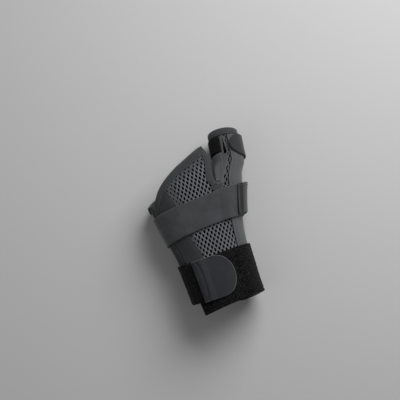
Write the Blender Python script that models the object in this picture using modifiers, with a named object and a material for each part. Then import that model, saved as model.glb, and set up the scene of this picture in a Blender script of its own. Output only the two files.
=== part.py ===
"""Thumb spica splint for a left hand, closed as it is worn and lying on its palm side.

A wrap of padded mesh fabric goes round the wrist and the palm, and splits at the web of the
thumb into a back wing, a palm wing and a thumb tube. A smooth sleeve for the stay runs up its
thumb side. The back wing laps over the palm wing at the little finger side, and three flat
straps with hook tabs close the wrist, the hand and the thumb.

Metres. +X is the thumb side, +Y runs to the fingers, +Z comes out of the back of the hand.
The origin is on the floor, under the middle of the wrist strap.
"""

import math
from collections import namedtuple

import bmesh
import bpy
import numpy as np
from mathutils import Vector

# Fabric thicknesses and the clearance between pieces that lie on each other
GAP = 0.0003
FOLD_GAP = 0.0008
BAND_GAP = 0.0005
TAPE_GAP = 0.0009
WRAP_WALL = 0.0030
SLEEVE_WALL = 0.0018
PANEL_WALL = 0.0009
BINDING_WALL = 0.0008
BAND_WALL = 0.0012
STRAP_WALL = 0.0018
TAB_WALL = 0.0016
HAND_TAB_WALL = 0.0026

# The wrap's main sizes, measured on its outer face
WRIST_REACH = 0.0325
WRIST_DEPTH = 0.0470
WEB_REACH = 0.0735
WING_REACH = 0.0380
CUFF_THUMB_SIDE = 0.0300
CUFF_FINGER_SIDE = 0.0335
CUFF_PALM_FINGER_SIDE = 0.0165
SLIT_REACH = 0.0270
PALM_HEIGHT = GAP + STRAP_WALL
ROUNDNESS = 0.90
FLAT_SHARE = 0.50
WIDEST_SHARE = 0.45

# The thumb tube
THUMB_RADIUS = 0.0130
THUMB_LENGTH = 0.0485
THUMB_ROOT_ASIDE = 0.0412
THUMB_ROOT_HEIGHT = 0.0272
THUMB_LEAN = math.radians(9.5)
THUMB_DIP = math.radians(12.0)
THUMB_BLEND = 0.0190
THUMB_WEB_OPENING = 26.0
WEB_SEAM = 0.0030
STAY_INSET = 0.0010
WINDOW_START = 0.495 * THUMB_LENGTH
WINDOW_END = 0.856 * THUMB_LENGTH
WINDOW_WIDTH = 0.0046
WINDOW_TOP_WIDTH = 0.0010
WINDOW_TURN = 95.0

# Straps, tabs, band and edge tape
WRIST_STRAP_WIDTH = 0.0380
HAND_STRAP_WIDTH = 0.0280
HAND_TAB_WIDTH = 0.0265
THUMB_STRAP_WIDTH = 0.0155
THUMB_TAB_WIDTH = 0.0200
BAND_REACH = 0.0150
TAPE_WIDTH = 0.0060
COLLAR_WIDTH = 0.0055

# Where the sheets begin and end round the hand, in degrees: 0 is the thumb side, 90 the back
# of the hand, 180 the little finger side and 270 or -90 the palm
LAP_UNDER_TURN = 118.0
SINK_START_TURN = 178.0
SINK_END_TURN = 158.0
PALM_SLIT_TURN = -47.0
PALM_SLIT_SPREAD = 18.0
FINGER_CORNER_TURN = -135.0
STRAP_SEWN_TURN = 318.0
BAND_SEWN_TURN = -37.0

# The wrap's cross-sections: along in shares of WEB_REACH, thumb_side and finger_side in shares
# of WRIST_REACH, depth in shares of WRIST_DEPTH
Section = namedtuple("Section", "place along thumb_side finger_side depth")
SECTIONS = (
    Section("cuff", -0.54, 0.885, 0.970, 1.06),
    Section("forearm", -0.27, 0.890, 0.975, 1.04),
    Section("wrist strap", 0.00, 0.935, 0.980, 1.02),
    Section("wrist bones", 0.27, 0.990, 1.000, 1.00),
    Section("heel of the hand", 0.57, 1.130, 1.080, 1.00),
    Section("palm", 0.82, 1.330, 1.145, 1.01),
    Section("thumb root", 1.05, 1.520, 1.230, 1.00),
    Section("knuckles", 1.36, 1.400, 1.280, 0.94),
    Section("fingers", 1.70, 1.200, 1.270, 0.88),
)

# The back wing's free edge beside the slit: along in shares of WING_REACH beyond the web,
# aside in shares of SLIT_REACH
SlitEdge = namedtuple("SlitEdge", "along aside")
SLIT_EDGE = (
    SlitEdge(0.00, 1.00),
    SlitEdge(0.18, 0.92),
    SlitEdge(0.45, 0.97),
    SlitEdge(0.70, 1.06),
    SlitEdge(1.00, 0.95),
)

# The back wing's edge on the little finger side: along in shares of WEB_REACH, turn in degrees
LapEdge = namedtuple("LapEdge", "along turn")
LAP_EDGE = (
    LapEdge(-0.54, 138.0),
    LapEdge(0.27, 145.0),
    LapEdge(0.58, 150.0),
    LapEdge(1.05, 153.0),
)

# The wings' edges towards the fingers: across is the share of the wing's width from the slit,
# along is in shares of WING_REACH beyond the web
FingerEdge = namedtuple("FingerEdge", "across along")
BACK_FINGER_EDGE = (
    FingerEdge(0.00, 1.02),
    FingerEdge(0.15, 0.94),
    FingerEdge(0.32, 0.82),
    FingerEdge(0.45, 0.70),
    FingerEdge(0.58, 0.55),
    FingerEdge(0.70, 0.40),
    FingerEdge(0.82, 0.23),
    FingerEdge(0.92, 0.08),
    FingerEdge(1.00, -0.07),
)
PALM_FINGER_EDGE = (
    FingerEdge(0.00, 0.70),
    FingerEdge(0.20, 0.66),
    FingerEdge(0.40, 0.50),
    FingerEdge(0.55, 0.30),
    FingerEdge(0.70, 0.10),
    FingerEdge(0.84, -0.03),
    FingerEdge(1.00, -0.10),
)

# Marks across the thumb strip, from the palm slit at -1 to the back slit at 1: the same mark
# as a turn round the wrap, and as a turn round the thumb tube
StripMark = namedtuple("StripMark", "across wrap_turn tube_turn")
STAY_EDGE = 0.4
WINDOW_MARK = 0.7
STRIP_MARKS = (
    StripMark(-1.0, PALM_SLIT_TURN, -180.0),
    StripMark(-STAY_EDGE, -12.0, -15.0),
    StripMark(0.0, 17.0, 36.0),
    StripMark(STAY_EDGE, 43.5, 74.0),
    StripMark(WINDOW_MARK, 55.0, WINDOW_TURN),
    StripMark(1.0, None, 180.0),
)

# The wings' widths round the hand and the back wing's length, as laid flat
BACK_WING_WIDTH = 2.4 * WRIST_REACH
PALM_WING_WIDTH = 3.8 * WRIST_REACH
BACK_WING_LENGTH = WEB_REACH + CUFF_FINGER_SIDE

# The lap panel's inner edge, in shares of the back wing, and how far round the palm wing's
# edge tape runs
PanelEdge = namedtuple("PanelEdge", "upward across")
LAP_PANEL_EDGE = (
    PanelEdge(0.00, 0.49),
    PanelEdge(0.20, 0.54),
    PanelEdge(0.75, 0.57),
    PanelEdge(1.00, 0.60),
)
PANEL_CLEARANCE = 0.0002
PALM_TAPE_END = 0.69

# A strap's course: turn in degrees, middle in shares of WEB_REACH, lift above the wrap's face
Course = namedtuple("Course", "turn middle lift")
ON_WRAP = GAP
LAP_DEPTH = WRAP_WALL + GAP + BINDING_WALL + 2 * GAP
ON_SLEEVE = GAP + SLEEVE_WALL + 2 * GAP
ON_BINDING = GAP + BINDING_WALL + TAPE_GAP
ON_BAND = GAP + BAND_WALL + GAP
ON_HAND_STRAP = ON_SLEEVE + STRAP_WALL + 2 * GAP
WRIST_STRAP_COURSE = (
    Course(112.0, -0.050, ON_BAND),
    Course(148.0, -0.025, ON_BAND),
    Course(166.0, -0.014, BAND_GAP),
    Course(200.0, -0.005, ON_WRAP),
    Course(STRAP_SEWN_TURN, 0.0, ON_WRAP),
)
WRIST_TAB_COURSE = (
    Course(66.0, -0.075, ON_BAND),
    Course(101.0, -0.056, ON_BAND),
    Course(109.0, -0.052, ON_BAND + STRAP_WALL + GAP),
    Course(123.0, -0.046, ON_BAND + STRAP_WALL + GAP),
)
BAND_LIFTS = (
    Course(BAND_SEWN_TURN, 0.0, ON_WRAP),
    Course(-26.0, 0.0, ON_WRAP),
    Course(-15.0, 0.0, ON_SLEEVE),
    Course(48.0, 0.0, ON_SLEEVE),
    Course(57.0, 0.0, ON_WRAP),
    Course(180.0, 0.0, ON_WRAP),
)
HAND_STRAP_COURSE = (
    Course(-22.0, 0.752, ON_SLEEVE),
    Course(50.0, 0.750, ON_SLEEVE),
    Course(62.0, 0.748, BAND_GAP),
    Course(98.0, 0.742, BAND_GAP),
    Course(112.0, 0.735, ON_BINDING),
    Course(154.0, 0.718, ON_BINDING),
    Course(172.0, 0.712, BAND_GAP),
    Course(200.0, 0.712, ON_WRAP),
    Course(STRAP_SEWN_TURN, 0.730, ON_WRAP),
)
HAND_TAB_COURSE = (
    Course(-27.0, 0.768, ON_HAND_STRAP),
    Course(24.0, 0.752, ON_HAND_STRAP),
)
WRIST_TAB_ROUND = 27.0
HAND_TAB_CORNER_TURN = 10.0
HAND_TAB_CORNER_SHARE = 0.42
THUMB_STRAP_START = 109.0
THUMB_STRAP_END = 318.0
THUMB_TAB_START = -50.0
THUMB_TAB_STRAIGHT_END = 34.0
THUMB_TAB_TIP = 74.0
THUMB_STRAP_MIDDLE = 0.711 * THUMB_LENGTH
THUMB_TAB_MIDDLE = 0.664 * THUMB_LENGTH

# How many rows and columns of faces each sheet has
WRAP_ROW_COUNT = 15
WING_ROW_COUNT = 6
WEB_ROW_COUNT = 6
WINDOW_ROW_COUNT = 4
COLLAR_ROW_COUNT = 2
BACK_COLUMN_COUNT = 12
PALM_COLUMN_COUNTS = (5, 7, 7)
PALM_STRIP_COLUMN_COUNT = 10
STAY_COLUMN_COUNT = 6
SLIT_STRIP_COLUMN_COUNT = 5
LAP_PANEL_COLUMN_COUNT = 6
LAP_PANEL_ROW_COUNT = 10
COLLAR_COLUMN_COUNT = 28
BAND_COLUMN_COUNT = 26
BAND_ROW_COUNT = 5
STRAP_ROW_COUNT = 3
STRAP_STEP_TURN = 6.5
THUMB_STRAP_COLUMN_COUNT = 18
THUMB_STRAP_ROW_COUNT = 2
TAB_COLUMN_COUNT = 7
WRIST_TAB_ROW_COUNT = 10
THUMB_TAB_COLUMN_COUNT = 10
THUMB_TAB_ROW_COUNT = 8
HAND_TAB_ROWS = (-1.0, -0.96, -0.84, -0.6, -0.2, 0.2, 0.6, 0.84, 0.96, 1.0)
MARK_STEP = 0.02
TURN_STEP = 0.5

# Each cloth's colour and roughness
CHARCOAL = ((0.060, 0.064, 0.068), 0.85)
MESH_GREY = ((0.075, 0.080, 0.085), 0.90)
BLACK_PILE = ((0.012, 0.012, 0.013), 0.95)


def through(rows, key, value, where):
    """The value column at `where` on a smooth curve through the rows, flat beyond its ends."""
    keys = [getattr(row, key) for row in rows]
    values = [getattr(row, value) for row in rows]
    where = min(max(where, keys[0]), keys[-1])
    last = len(keys) - 2
    i = min(max(int(np.searchsorted(keys, where, side="right")) - 1, 0), last)
    slopes = []
    for k in (i, i + 1):
        before, after = max(k - 1, 0), min(k + 1, last + 1)
        slopes.append((values[after] - values[before]) / (keys[after] - keys[before]))
    span = keys[i + 1] - keys[i]
    s = (where - keys[i]) / span
    return (
        values[i] * (1 + 2 * s) * (1 - s) ** 2
        + values[i + 1] * s * s * (3 - 2 * s)
        + span * slopes[0] * s * (1 - s) ** 2
        - span * slopes[1] * s * s * (1 - s)
    )


def straight(rows, key, value, where):
    """The value column at `where`, on straight lines between the rows."""
    return float(np.interp(where, [getattr(r, key) for r in rows], [getattr(r, value) for r in rows]))


def ease(share):
    """0 to 1 with no slope at either end."""
    share = min(max(share, 0.0), 1.0)
    return share * share * (3 - 2 * share)


def section_at(y):
    """(middle x, half width, depth) of the wrap's outer face at y."""
    along = y / WEB_REACH
    thumb_side = WRIST_REACH * through(SECTIONS, "along", "thumb_side", along)
    finger_side = WRIST_REACH * through(SECTIONS, "along", "finger_side", along)
    depth = WRIST_DEPTH * through(SECTIONS, "along", "depth", along)
    return (thumb_side - finger_side) / 2, (thumb_side + finger_side) / 2, depth


def section_point(turn, half, depth):
    """x and z on a section's outline: an arched back, round sides and a flat palm side."""
    side_height = WIDEST_SHARE * depth
    flat = FLAT_SHARE * half
    turn = turn % 360.0
    if turn <= 180.0:
        c, s = math.cos(math.radians(turn)), math.sin(math.radians(turn))
        x = half * math.copysign(abs(c) ** ROUNDNESS, c)
        return x, side_height + (depth - side_height) * abs(s) ** ROUNDNESS
    if turn < 225.0:
        t = math.radians(2 * (turn - 180.0))
        return -flat - (half - flat) * math.cos(t), side_height * (1 - math.sin(t))
    if turn <= 315.0:
        return flat * (turn - 270.0) / 45.0, 0.0
    t = math.radians(2 * (turn - 315.0))
    return flat + (half - flat) * math.sin(t), side_height * (1 - math.cos(t))


def on_wrap(turn, y, lift):
    """A point over the wrap's outer face, lifted square to the section's outline."""
    middle, half, depth = section_at(y)
    x, z = section_point(turn, half, depth)
    before, after = (section_point(turn + way, half, depth) for way in (-TURN_STEP, TURN_STEP))
    along = Vector((after[0] - before[0], 0.0, after[1] - before[1])).normalized()
    outward = Vector((along.z, 0.0, -along.x))
    return Vector((middle + x, y, PALM_HEIGHT + z)) + outward * lift


def turn_at(x, y):
    """The turn of the point of the wrap's back that lies over x, y."""
    middle, half, _ = section_at(y)
    share = min(max((x - middle) / half, -1.0), 1.0)
    return math.degrees(math.acos(math.copysign(abs(share) ** (1 / ROUNDNESS), share)))


def on_tube(turn, t, lift):
    """A point over the thumb tube's outer face, t along it from the web."""
    cl, sl = math.cos(THUMB_LEAN), math.sin(THUMB_LEAN)
    cd, sd = math.cos(THUMB_DIP), math.sin(THUMB_DIP)
    axis = Vector((sl * cd, cl * cd, -sd))
    aside = Vector((cl, -sl, 0.0))
    up = aside.cross(axis)
    root = Vector((THUMB_ROOT_ASIDE, WEB_REACH, THUMB_ROOT_HEIGHT))
    a = math.radians(turn)
    return root + axis * t + (aside * math.cos(a) + up * math.sin(a)) * (THUMB_RADIUS + lift)


def slit_turn(y):
    """The turn of the back wing's slit edge, and below the web of the line it goes on along."""
    share = max((y - WEB_REACH) / WING_REACH, 0.0)
    aside = SLIT_REACH * through(SLIT_EDGE, "along", "aside", share)
    return turn_at(aside, max(y, WEB_REACH))


def cuff_edge(turn):
    """y of the wrap's edge towards the elbow."""
    mean = (CUFF_THUMB_SIDE + CUFF_FINGER_SIDE) / 2
    swing = (CUFF_FINGER_SIDE - CUFF_THUMB_SIDE) / 2
    return -(mean - swing * math.cos(math.radians(turn)))


def back_ends(across):
    """y of the back wing's cuff edge and of its finger edge."""
    high = WEB_REACH + WING_REACH * through(BACK_FINGER_EDGE, "across", "along", across)
    return cuff_edge(45.0 + 90.0 * across), high


def back_upward(across, y):
    """The upward share of the back wing at y."""
    low, high = back_ends(across)
    return (y - low) / (high - low)


def back_wing(across, upward, lift=0.0):
    """A point over the back wing: across 0 at the slit to 1 at the lap, upward 0 at the cuff to 1."""
    low, high = back_ends(across)
    y = low + (high - low) * upward
    lap = through(LAP_EDGE, "along", "turn", y / WEB_REACH)
    slit = slit_turn(y)
    return on_wrap(slit + (lap - slit) * across, y, lift)


def palm_wing(across, upward, lift=0.0):
    """A point over the palm wing, whose far end sinks to lie under the back wing."""
    end = LAP_UNDER_TURN - 360.0
    turn = PALM_SLIT_TURN + (end - PALM_SLIT_TURN) * across
    low = cuff_edge(-45.0) - (cuff_edge(-45.0) + CUFF_PALM_FINGER_SIDE) * ease(across / 0.5)
    high = WEB_REACH + WING_REACH * through(PALM_FINGER_EDGE, "across", "along", across)
    y = low + (high - low) * upward
    sunk = ease((SINK_START_TURN - 360.0 - turn) / (SINK_START_TURN - SINK_END_TURN))
    beyond_web = max((y - WEB_REACH) / WING_REACH, 0.0)
    turn -= PALM_SLIT_SPREAD * math.sqrt(beyond_web) * max(1 - 2 * across, 0.0)
    return on_wrap(turn, y, lift - sunk * LAP_DEPTH)


def web_share(low, high):
    """The share of a wing's slit side that lies below the web, from its cuff to its top."""
    return (WEB_REACH - low) / (high - low)


BACK_WEB_SHARE = web_share(cuff_edge(45.0), WEB_REACH + WING_REACH * BACK_FINGER_EDGE[0].along)
PALM_WEB_SHARE = web_share(cuff_edge(-45.0), WEB_REACH + WING_REACH * PALM_FINGER_EDGE[0].along)


def window_half_turn(t):
    """Half of the thumb window's width at t, as a turn in degrees."""
    share = min(max((t - WINDOW_START) / (WINDOW_END - WINDOW_START), 0.0), 1.0)
    width = WINDOW_WIDTH + (WINDOW_TOP_WIDTH - WINDOW_WIDTH) * share
    return math.degrees(width / 2 / THUMB_RADIUS)


def web_opening(t):
    """How far each edge of the thumb strip stays from the seam of the tube, as a turn."""
    return THUMB_WEB_OPENING * max(1 - (t / WINDOW_START) ** 2, 0.0)


def strip_turns(across, y, t):
    """(turn round the wrap, turn round the tube) of a mark across the thumb strip."""
    marks = [m.across for m in STRIP_MARKS]
    wrap_turns = [m.wrap_turn for m in STRIP_MARKS[:-1]] + [slit_turn(y)]
    tube_turns = [m.tube_turn for m in STRIP_MARKS]
    tube_turns[0] += web_opening(t)
    tube_turns[-1] -= web_opening(t)
    return float(np.interp(across, marks, wrap_turns)), float(np.interp(across, marks, tube_turns))


def thumb_strip(across, t, lift=0.0, aside_of_window=0.0):
    """A point over the thumb strip, t beyond the web. Below the web t is negative.

    aside_of_window is 1 or -1 for the columns at the window's two edges.
    """
    wrap_turn, tube_turn = strip_turns(across, WEB_REACH, max(t, 0.0))
    on_palm_part = on_wrap(wrap_turn, WEB_REACH + t, lift)
    if t <= 0.0:
        return on_palm_part
    tube_turn += aside_of_window * window_half_turn(t)
    return on_palm_part.lerp(on_tube(tube_turn, t, lift), ease(t / THUMB_BLEND))


def steps(start, end, count):
    """count + 1 evenly spaced values from start to end."""
    return [start + (end - start) * k / count for k in range(count + 1)]


def grid_faces(rows, columns, first=0, skip=()):
    """Faces of a grid of rows x columns points, facing out, without the cells in skip."""
    faces = []
    for i in range(rows - 1):
        for j in range(columns - 1):
            if (i, j) in skip:
                continue
            a = first + i * columns + j
            faces.append((a, a + columns, a + columns + 1, a + 1))
    return faces


def fabric(name, colour, roughness):
    """The piece's own cloth material."""
    material = bpy.data.materials.new(name + "_cloth")
    material.use_nodes = True
    shader = material.node_tree.nodes["Principled BSDF"]
    shader.inputs["Base Color"].default_value = (*colour, 1.0)
    shader.inputs["Roughness"].default_value = roughness
    shader.inputs["Metallic"].default_value = 0.0
    return material


def piece(name, points, faces, look, collection):
    """A mesh object of these points and faces, with coinciding points made one."""
    mesh = bpy.data.meshes.new(name)
    body = bmesh.new()
    corners = [body.verts.new(p) for p in points]
    for face in faces:
        body.faces.new([corners[k] for k in face])
    bmesh.ops.remove_doubles(body, verts=body.verts, dist=1e-6)
    loose = [v for v in body.verts if not v.link_faces]
    bmesh.ops.delete(body, geom=loose, context="VERTS")
    body.to_mesh(mesh)
    body.free()
    mesh.shade_smooth()
    mesh.set_sharp_from_angle(angle=math.radians(40))
    made = bpy.data.objects.new(name, mesh)
    made.data.materials.append(fabric(name, *look))
    collection.objects.link(made)
    return made


def cloth_piece(name, points, faces, wall, outward, look, collection):
    """A sheet of this wall, thickened outwards or inwards from the face that is given."""
    made = piece(name, points, faces, look, collection)
    thicken = made.modifiers.new("Wall", "SOLIDIFY")
    thicken.thickness = wall
    thicken.offset = 1.0 if outward else -1.0
    return made


def wing_rows(web):
    """The upward shares of a wing's rows, with one row level with the web."""
    return steps(0.0, web, WRAP_ROW_COUNT) + steps(web, 1.0, WING_ROW_COUNT)[1:]


def back_columns():
    """The across shares of the back wing's columns."""
    return steps(0.0, 1.0, BACK_COLUMN_COUNT)


def palm_columns():
    """The across shares of the palm wing's columns, closest round the little finger side."""
    stops = (PALM_SLIT_TURN, FINGER_CORNER_TURN, -180.0, LAP_UNDER_TURN - 360.0)
    turns = [PALM_SLIT_TURN]
    for start, end, count in zip(stops, stops[1:], PALM_COLUMN_COUNTS):
        turns += steps(start, end, count)[1:]
    return [(turn - turns[0]) / (turns[-1] - turns[0]) for turn in turns]


def strip_marks():
    """Marks across the thumb strip, with the window's two edges, and which way each moves."""
    marks = [(a, 0.0) for a in steps(-1.0, -STAY_EDGE, PALM_STRIP_COLUMN_COUNT)]
    marks += [(a, 0.0) for a in stay_marks()[1:]]
    marks += [(STAY_EDGE + (WINDOW_MARK - STAY_EDGE) / 4, 0.0)]
    marks += [(WINDOW_MARK, -1.0), (WINDOW_MARK, 1.0)]
    marks += [(a, 0.0) for a in steps(WINDOW_MARK, 1.0, SLIT_STRIP_COLUMN_COUNT)[1:]]
    return marks


def stay_marks():
    """The marks of the columns that the stay's sleeve covers."""
    return steps(-STAY_EDGE, STAY_EDGE, STAY_COLUMN_COUNT)


def strip_rows(start=None, end=THUMB_LENGTH):
    """The strip's rows from start to end, along it from the web, with both ends among them."""
    cuff = cuff_edge(45.0) - WEB_REACH
    rows = steps(cuff, 0.0, WRAP_ROW_COUNT) + steps(0.0, WINDOW_START, WEB_ROW_COUNT)[1:]
    rows += steps(WINDOW_START, WINDOW_END, WINDOW_ROW_COUNT)[1:]
    rows += steps(WINDOW_END, THUMB_LENGTH, COLLAR_ROW_COUNT)[1:]
    start = cuff if start is None else start
    margin = 2 * GAP
    return [start] + [t for t in rows if start + margin < t < end - margin] + [end]


def make_wrap(collection):
    """The padded mesh wrap: two wings and the thumb strip, joined below the web."""
    points, faces = [], []
    wings = (
        (back_wing, back_columns(), BACK_WEB_SHARE),
        (palm_wing, palm_columns()[::-1], PALM_WEB_SHARE),
    )
    for wing, across, web in wings:
        upward = wing_rows(web)
        first = len(points)
        points += [wing(a, u) for u in upward for a in across]
        faces += grid_faces(len(upward), len(across), first)

    marks = strip_marks()
    window_column = [k for k, mark in enumerate(marks) if mark[1] < 0][0]
    ts = strip_rows()
    first = len(points)
    for t in ts:
        for a, way in marks:
            points.append(thumb_strip(a, t, aside_of_window=way))
        if t <= 0.0:
            edge = first + len(marks) * ts.index(t)
            points[edge + window_column] = thumb_strip(WINDOW_MARK - MARK_STEP, t)
            points[edge + window_column + 1] = thumb_strip(WINDOW_MARK + MARK_STEP, t)
    window_first = WRAP_ROW_COUNT + WEB_ROW_COUNT
    skip = [(i, window_column) for i in range(window_first, window_first + WINDOW_ROW_COUNT)]
    faces += grid_faces(len(ts), len(marks), first, skip)
    return cloth_piece("wrap", points, faces, WRAP_WALL, False, MESH_GREY, collection)


def make_stay_sleeve(collection):
    """The smooth sleeve of the stay, up the thumb side from the cuff to the collar."""
    across = stay_marks()
    start = cuff_edge(45.0) + STAY_INSET - WEB_REACH
    ts = strip_rows(start, THUMB_LENGTH - COLLAR_WIDTH - 2 * GAP)
    points = [thumb_strip(a, t, GAP) for t in ts for a in across]
    faces = grid_faces(len(ts), len(across))
    return cloth_piece("stay_sleeve", points, faces, SLEEVE_WALL, True, CHARCOAL, collection)


def make_lap_panel(collection):
    """The smooth panel on the back wing's lap, above the wrist band."""
    outer = 1.0 - (TAPE_WIDTH + 2 * GAP) / BACK_WING_WIDTH
    width = upward_width(BACK_FINGER_EDGE, BACK_WING_WIDTH)
    rows = []
    for u in steps(0.0, 1.0, LAP_PANEL_ROW_COUNT):
        inner = straight(LAP_PANEL_EDGE, "upward", "across", u)
        row = []
        for a in steps(inner, outer, LAP_PANEL_COLUMN_COUNT):
            low = back_upward(a, BAND_REACH + 2 * GAP)
            high = 1.0 - width(a) - 2 * GAP / BACK_WING_LENGTH
            row.append(back_wing(a, low + (high - low) * u, GAP + PANEL_CLEARANCE))
        rows.append(row)
    points = [p for row in rows for p in row]
    faces = grid_faces(len(rows), LAP_PANEL_COLUMN_COUNT + 1)
    return cloth_piece("lap_panel", points, faces, PANEL_WALL, True, CHARCOAL, collection)


def make_thumb_panel(collection):
    """The smooth panel on the thumb strip between the window, the slit and the strap."""
    end = THUMB_STRAP_MIDDLE - THUMB_STRAP_WIDTH / 2 - 2 * GAP
    ts = strip_rows(WEB_SEAM, end)
    column = (1 - WINDOW_MARK) / SLIT_STRIP_COLUMN_COUNT
    across = steps(WINDOW_MARK + column, 1 - column / 4, SLIT_STRIP_COLUMN_COUNT - 1)
    points = [thumb_strip(a, t, GAP) for t in ts for a in across]
    faces = grid_faces(len(ts), len(across))
    return cloth_piece("thumb_panel", points, faces, PANEL_WALL, True, CHARCOAL, collection)


def tape_profile(edge, inner):
    """The folded tape's section at one place of an edge. edge and inner give a point by lift."""
    beyond = (edge(0.0) - inner(0.0)).normalized()
    top, under, fold = GAP, -(WRAP_WALL + GAP), FOLD_GAP
    return [
        inner(top + BINDING_WALL),
        edge(top + BINDING_WALL) + beyond * (fold + BINDING_WALL),
        edge(under - BINDING_WALL) + beyond * (fold + BINDING_WALL),
        inner(under - BINDING_WALL),
        inner(under),
        edge(under) + beyond * fold,
        edge(top) + beyond * fold,
        inner(top),
    ]


def make_tape(name, profiles, closed, collection):
    """A folded tape through these sections, open with end caps or closed to a ring."""
    count = len(profiles[0])
    points = [p for profile in profiles for p in profile]
    faces = []
    turns = len(profiles) if closed else len(profiles) - 1
    for i in range(turns):
        a, b = i * count, ((i + 1) % len(profiles)) * count
        for j in range(count):
            k = (j + 1) % count
            faces.append((a + j, a + k, b + k, b + j))
    if not closed:
        last = (len(profiles) - 1) * count
        faces += [(0, 7, 6, 1), (1, 6, 5, 2), (2, 5, 4, 3)]
        faces += [(last + a, last + b, last + c, last + d) for a, b, c, d in
                  ((1, 6, 7, 0), (2, 5, 6, 1), (3, 4, 5, 2))]
    made = piece(name, points, faces, CHARCOAL, collection)
    body = bmesh.new()
    body.from_mesh(made.data)
    bmesh.ops.recalc_face_normals(body, faces=body.faces)
    body.to_mesh(made.data)
    body.free()
    return made


def wing_tape_profiles(wing, outline, width_across, width_upward):
    """Sections of the tape round a wing: each outline place with its place one tape width in."""
    profiles = []
    for across, upward in outline:
        in_across = min(max(across, width_across), 1.0 - width_across)
        in_upward = min(upward, 1.0 - width_upward(across))
        profiles.append(
            tape_profile(
                lambda lift, a=across, u=upward: wing(a, u, lift),
                lambda lift, a=in_across, u=in_upward: wing(a, u, lift),
            )
        )
    return profiles


def upward_width(finger_edge, wing_width):
    """A function giving the tape's width as a share of a wing's column, wider on a slant."""

    def width(across):
        a, b = max(across - MARK_STEP, 0.0), min(across + MARK_STEP, 1.0)
        rise = WING_REACH * (
            through(finger_edge, "across", "along", a) - through(finger_edge, "across", "along", b)
        )
        slope = rise / ((b - a) * wing_width)
        high = WEB_REACH + WING_REACH * through(finger_edge, "across", "along", across)
        return TAPE_WIDTH * math.hypot(1.0, slope) / (high + CUFF_THUMB_SIDE)

    return width


def make_back_binding(collection):
    """The folded tape up the slit, along the back wing's finger edge and down its lap."""
    rows = wing_rows(BACK_WEB_SHARE)
    lap_end = back_upward(1.0, BAND_REACH + 2 * GAP)
    outline = [(0.0, u) for u in rows if u > BACK_WEB_SHARE + GAP]
    outline += [(a, 1.0) for a in back_columns()[1:]]
    outline += [(1.0, u) for u in rows[-2::-1] if u > lap_end + GAP] + [(1.0, lap_end)]
    width = upward_width(BACK_FINGER_EDGE, BACK_WING_WIDTH)
    profiles = wing_tape_profiles(back_wing, outline, TAPE_WIDTH / BACK_WING_WIDTH, width)
    return make_tape("back_binding", profiles, False, collection)


def make_palm_binding(collection):
    """The folded tape up the palm slit and along the palm wing's finger edge to the lap."""
    outline = [(0.0, u) for u in wing_rows(PALM_WEB_SHARE) if u > PALM_WEB_SHARE + GAP]
    outline += [(a, 1.0) for a in palm_columns()[1:] if a < PALM_TAPE_END]
    width = upward_width(PALM_FINGER_EDGE, PALM_WING_WIDTH)
    profiles = wing_tape_profiles(palm_wing, outline, TAPE_WIDTH / PALM_WING_WIDTH, width)
    return make_tape("palm_binding", profiles, False, collection)


def make_thumb_binding(collection):
    """The folded tape round the thumb tube's opening."""
    profiles = []
    for turn in steps(0.0, 360.0, COLLAR_COLUMN_COUNT)[:-1]:
        profiles.append(
            tape_profile(
                lambda lift, a=turn: on_tube(a, THUMB_LENGTH, lift),
                lambda lift, a=turn: on_tube(a, THUMB_LENGTH - COLLAR_WIDTH, lift),
            )
        )
    return make_tape("thumb_binding", profiles, True, collection)


def strap_points(course, width, turns, widths):
    """Rows of points across a strap's inner face, from its elbow side to its finger side."""
    rows = []
    for w in widths:
        row = []
        for turn in turns:
            middle = WEB_REACH * through(course, "turn", "middle", turn)
            lift = straight(course, "turn", "lift", turn)
            row.append(on_wrap(turn, middle + w * width / 2, lift))
        rows.append(row)
    return [p for row in rows for p in row]


def make_strap(name, course, width, look, collection):
    """A strap round the wrap along its course."""
    start, end = course[0].turn, course[-1].turn
    turns = steps(start, end, round((end - start) / STRAP_STEP_TURN))
    widths = steps(-1.0, 1.0, STRAP_ROW_COUNT)
    points = strap_points(course, width, turns, widths)
    faces = grid_faces(len(widths), len(turns))
    return cloth_piece(name, points, faces, STRAP_WALL, True, look, collection)


def make_wrist_tab(collection):
    """The wrist strap's hook tab, straight at its seam and round at its end."""
    course = WRIST_TAB_COURSE
    tip, flat_end = course[0].turn, course[1].turn
    points = []
    widths = [math.sin(math.radians(a)) for a in steps(-90.0, 90.0, WRIST_TAB_ROW_COUNT)]
    columns = steps(0.0, 1.0, TAB_COLUMN_COUNT) + [row.turn for row in course[2:]]
    for w in widths:
        end = tip + WRIST_TAB_ROUND * (1 - math.sqrt(max(1 - w * w, 0.0)))
        for c in columns:
            turn = end + (flat_end - end) * c if c <= 1.0 else c
            middle = WEB_REACH * through(course, "turn", "middle", turn)
            lift = straight(course, "turn", "lift", turn)
            points.append(on_wrap(turn, middle + w * WRIST_STRAP_WIDTH / 2, lift))
    faces = grid_faces(len(widths), len(columns))
    return cloth_piece("wrist_tab", points, faces, TAB_WALL, True, CHARCOAL, collection)


def make_hand_tab(collection):
    """The hand strap's hook tab, with round corners, on the thumb side."""
    course = HAND_TAB_COURSE
    end, seam = course[0].turn, course[-1].turn
    points = []
    columns = steps(0.0, 1.0, TAB_COLUMN_COUNT)
    for w in HAND_TAB_ROWS:
        beyond = max(abs(w) - (1 - HAND_TAB_CORNER_SHARE), 0.0) / HAND_TAB_CORNER_SHARE
        start = end + HAND_TAB_CORNER_TURN * (1 - math.sqrt(max(1 - beyond * beyond, 0.0)))
        for c in columns:
            turn = start + (seam - start) * c
            middle = WEB_REACH * through(course, "turn", "middle", turn)
            lift = straight(course, "turn", "lift", turn)
            points.append(on_wrap(turn, middle + w * HAND_TAB_WIDTH / 2, lift))
    faces = grid_faces(len(HAND_TAB_ROWS), len(columns))
    return cloth_piece("hand_tab", points, faces, HAND_TAB_WALL, True, CHARCOAL, collection)


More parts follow.
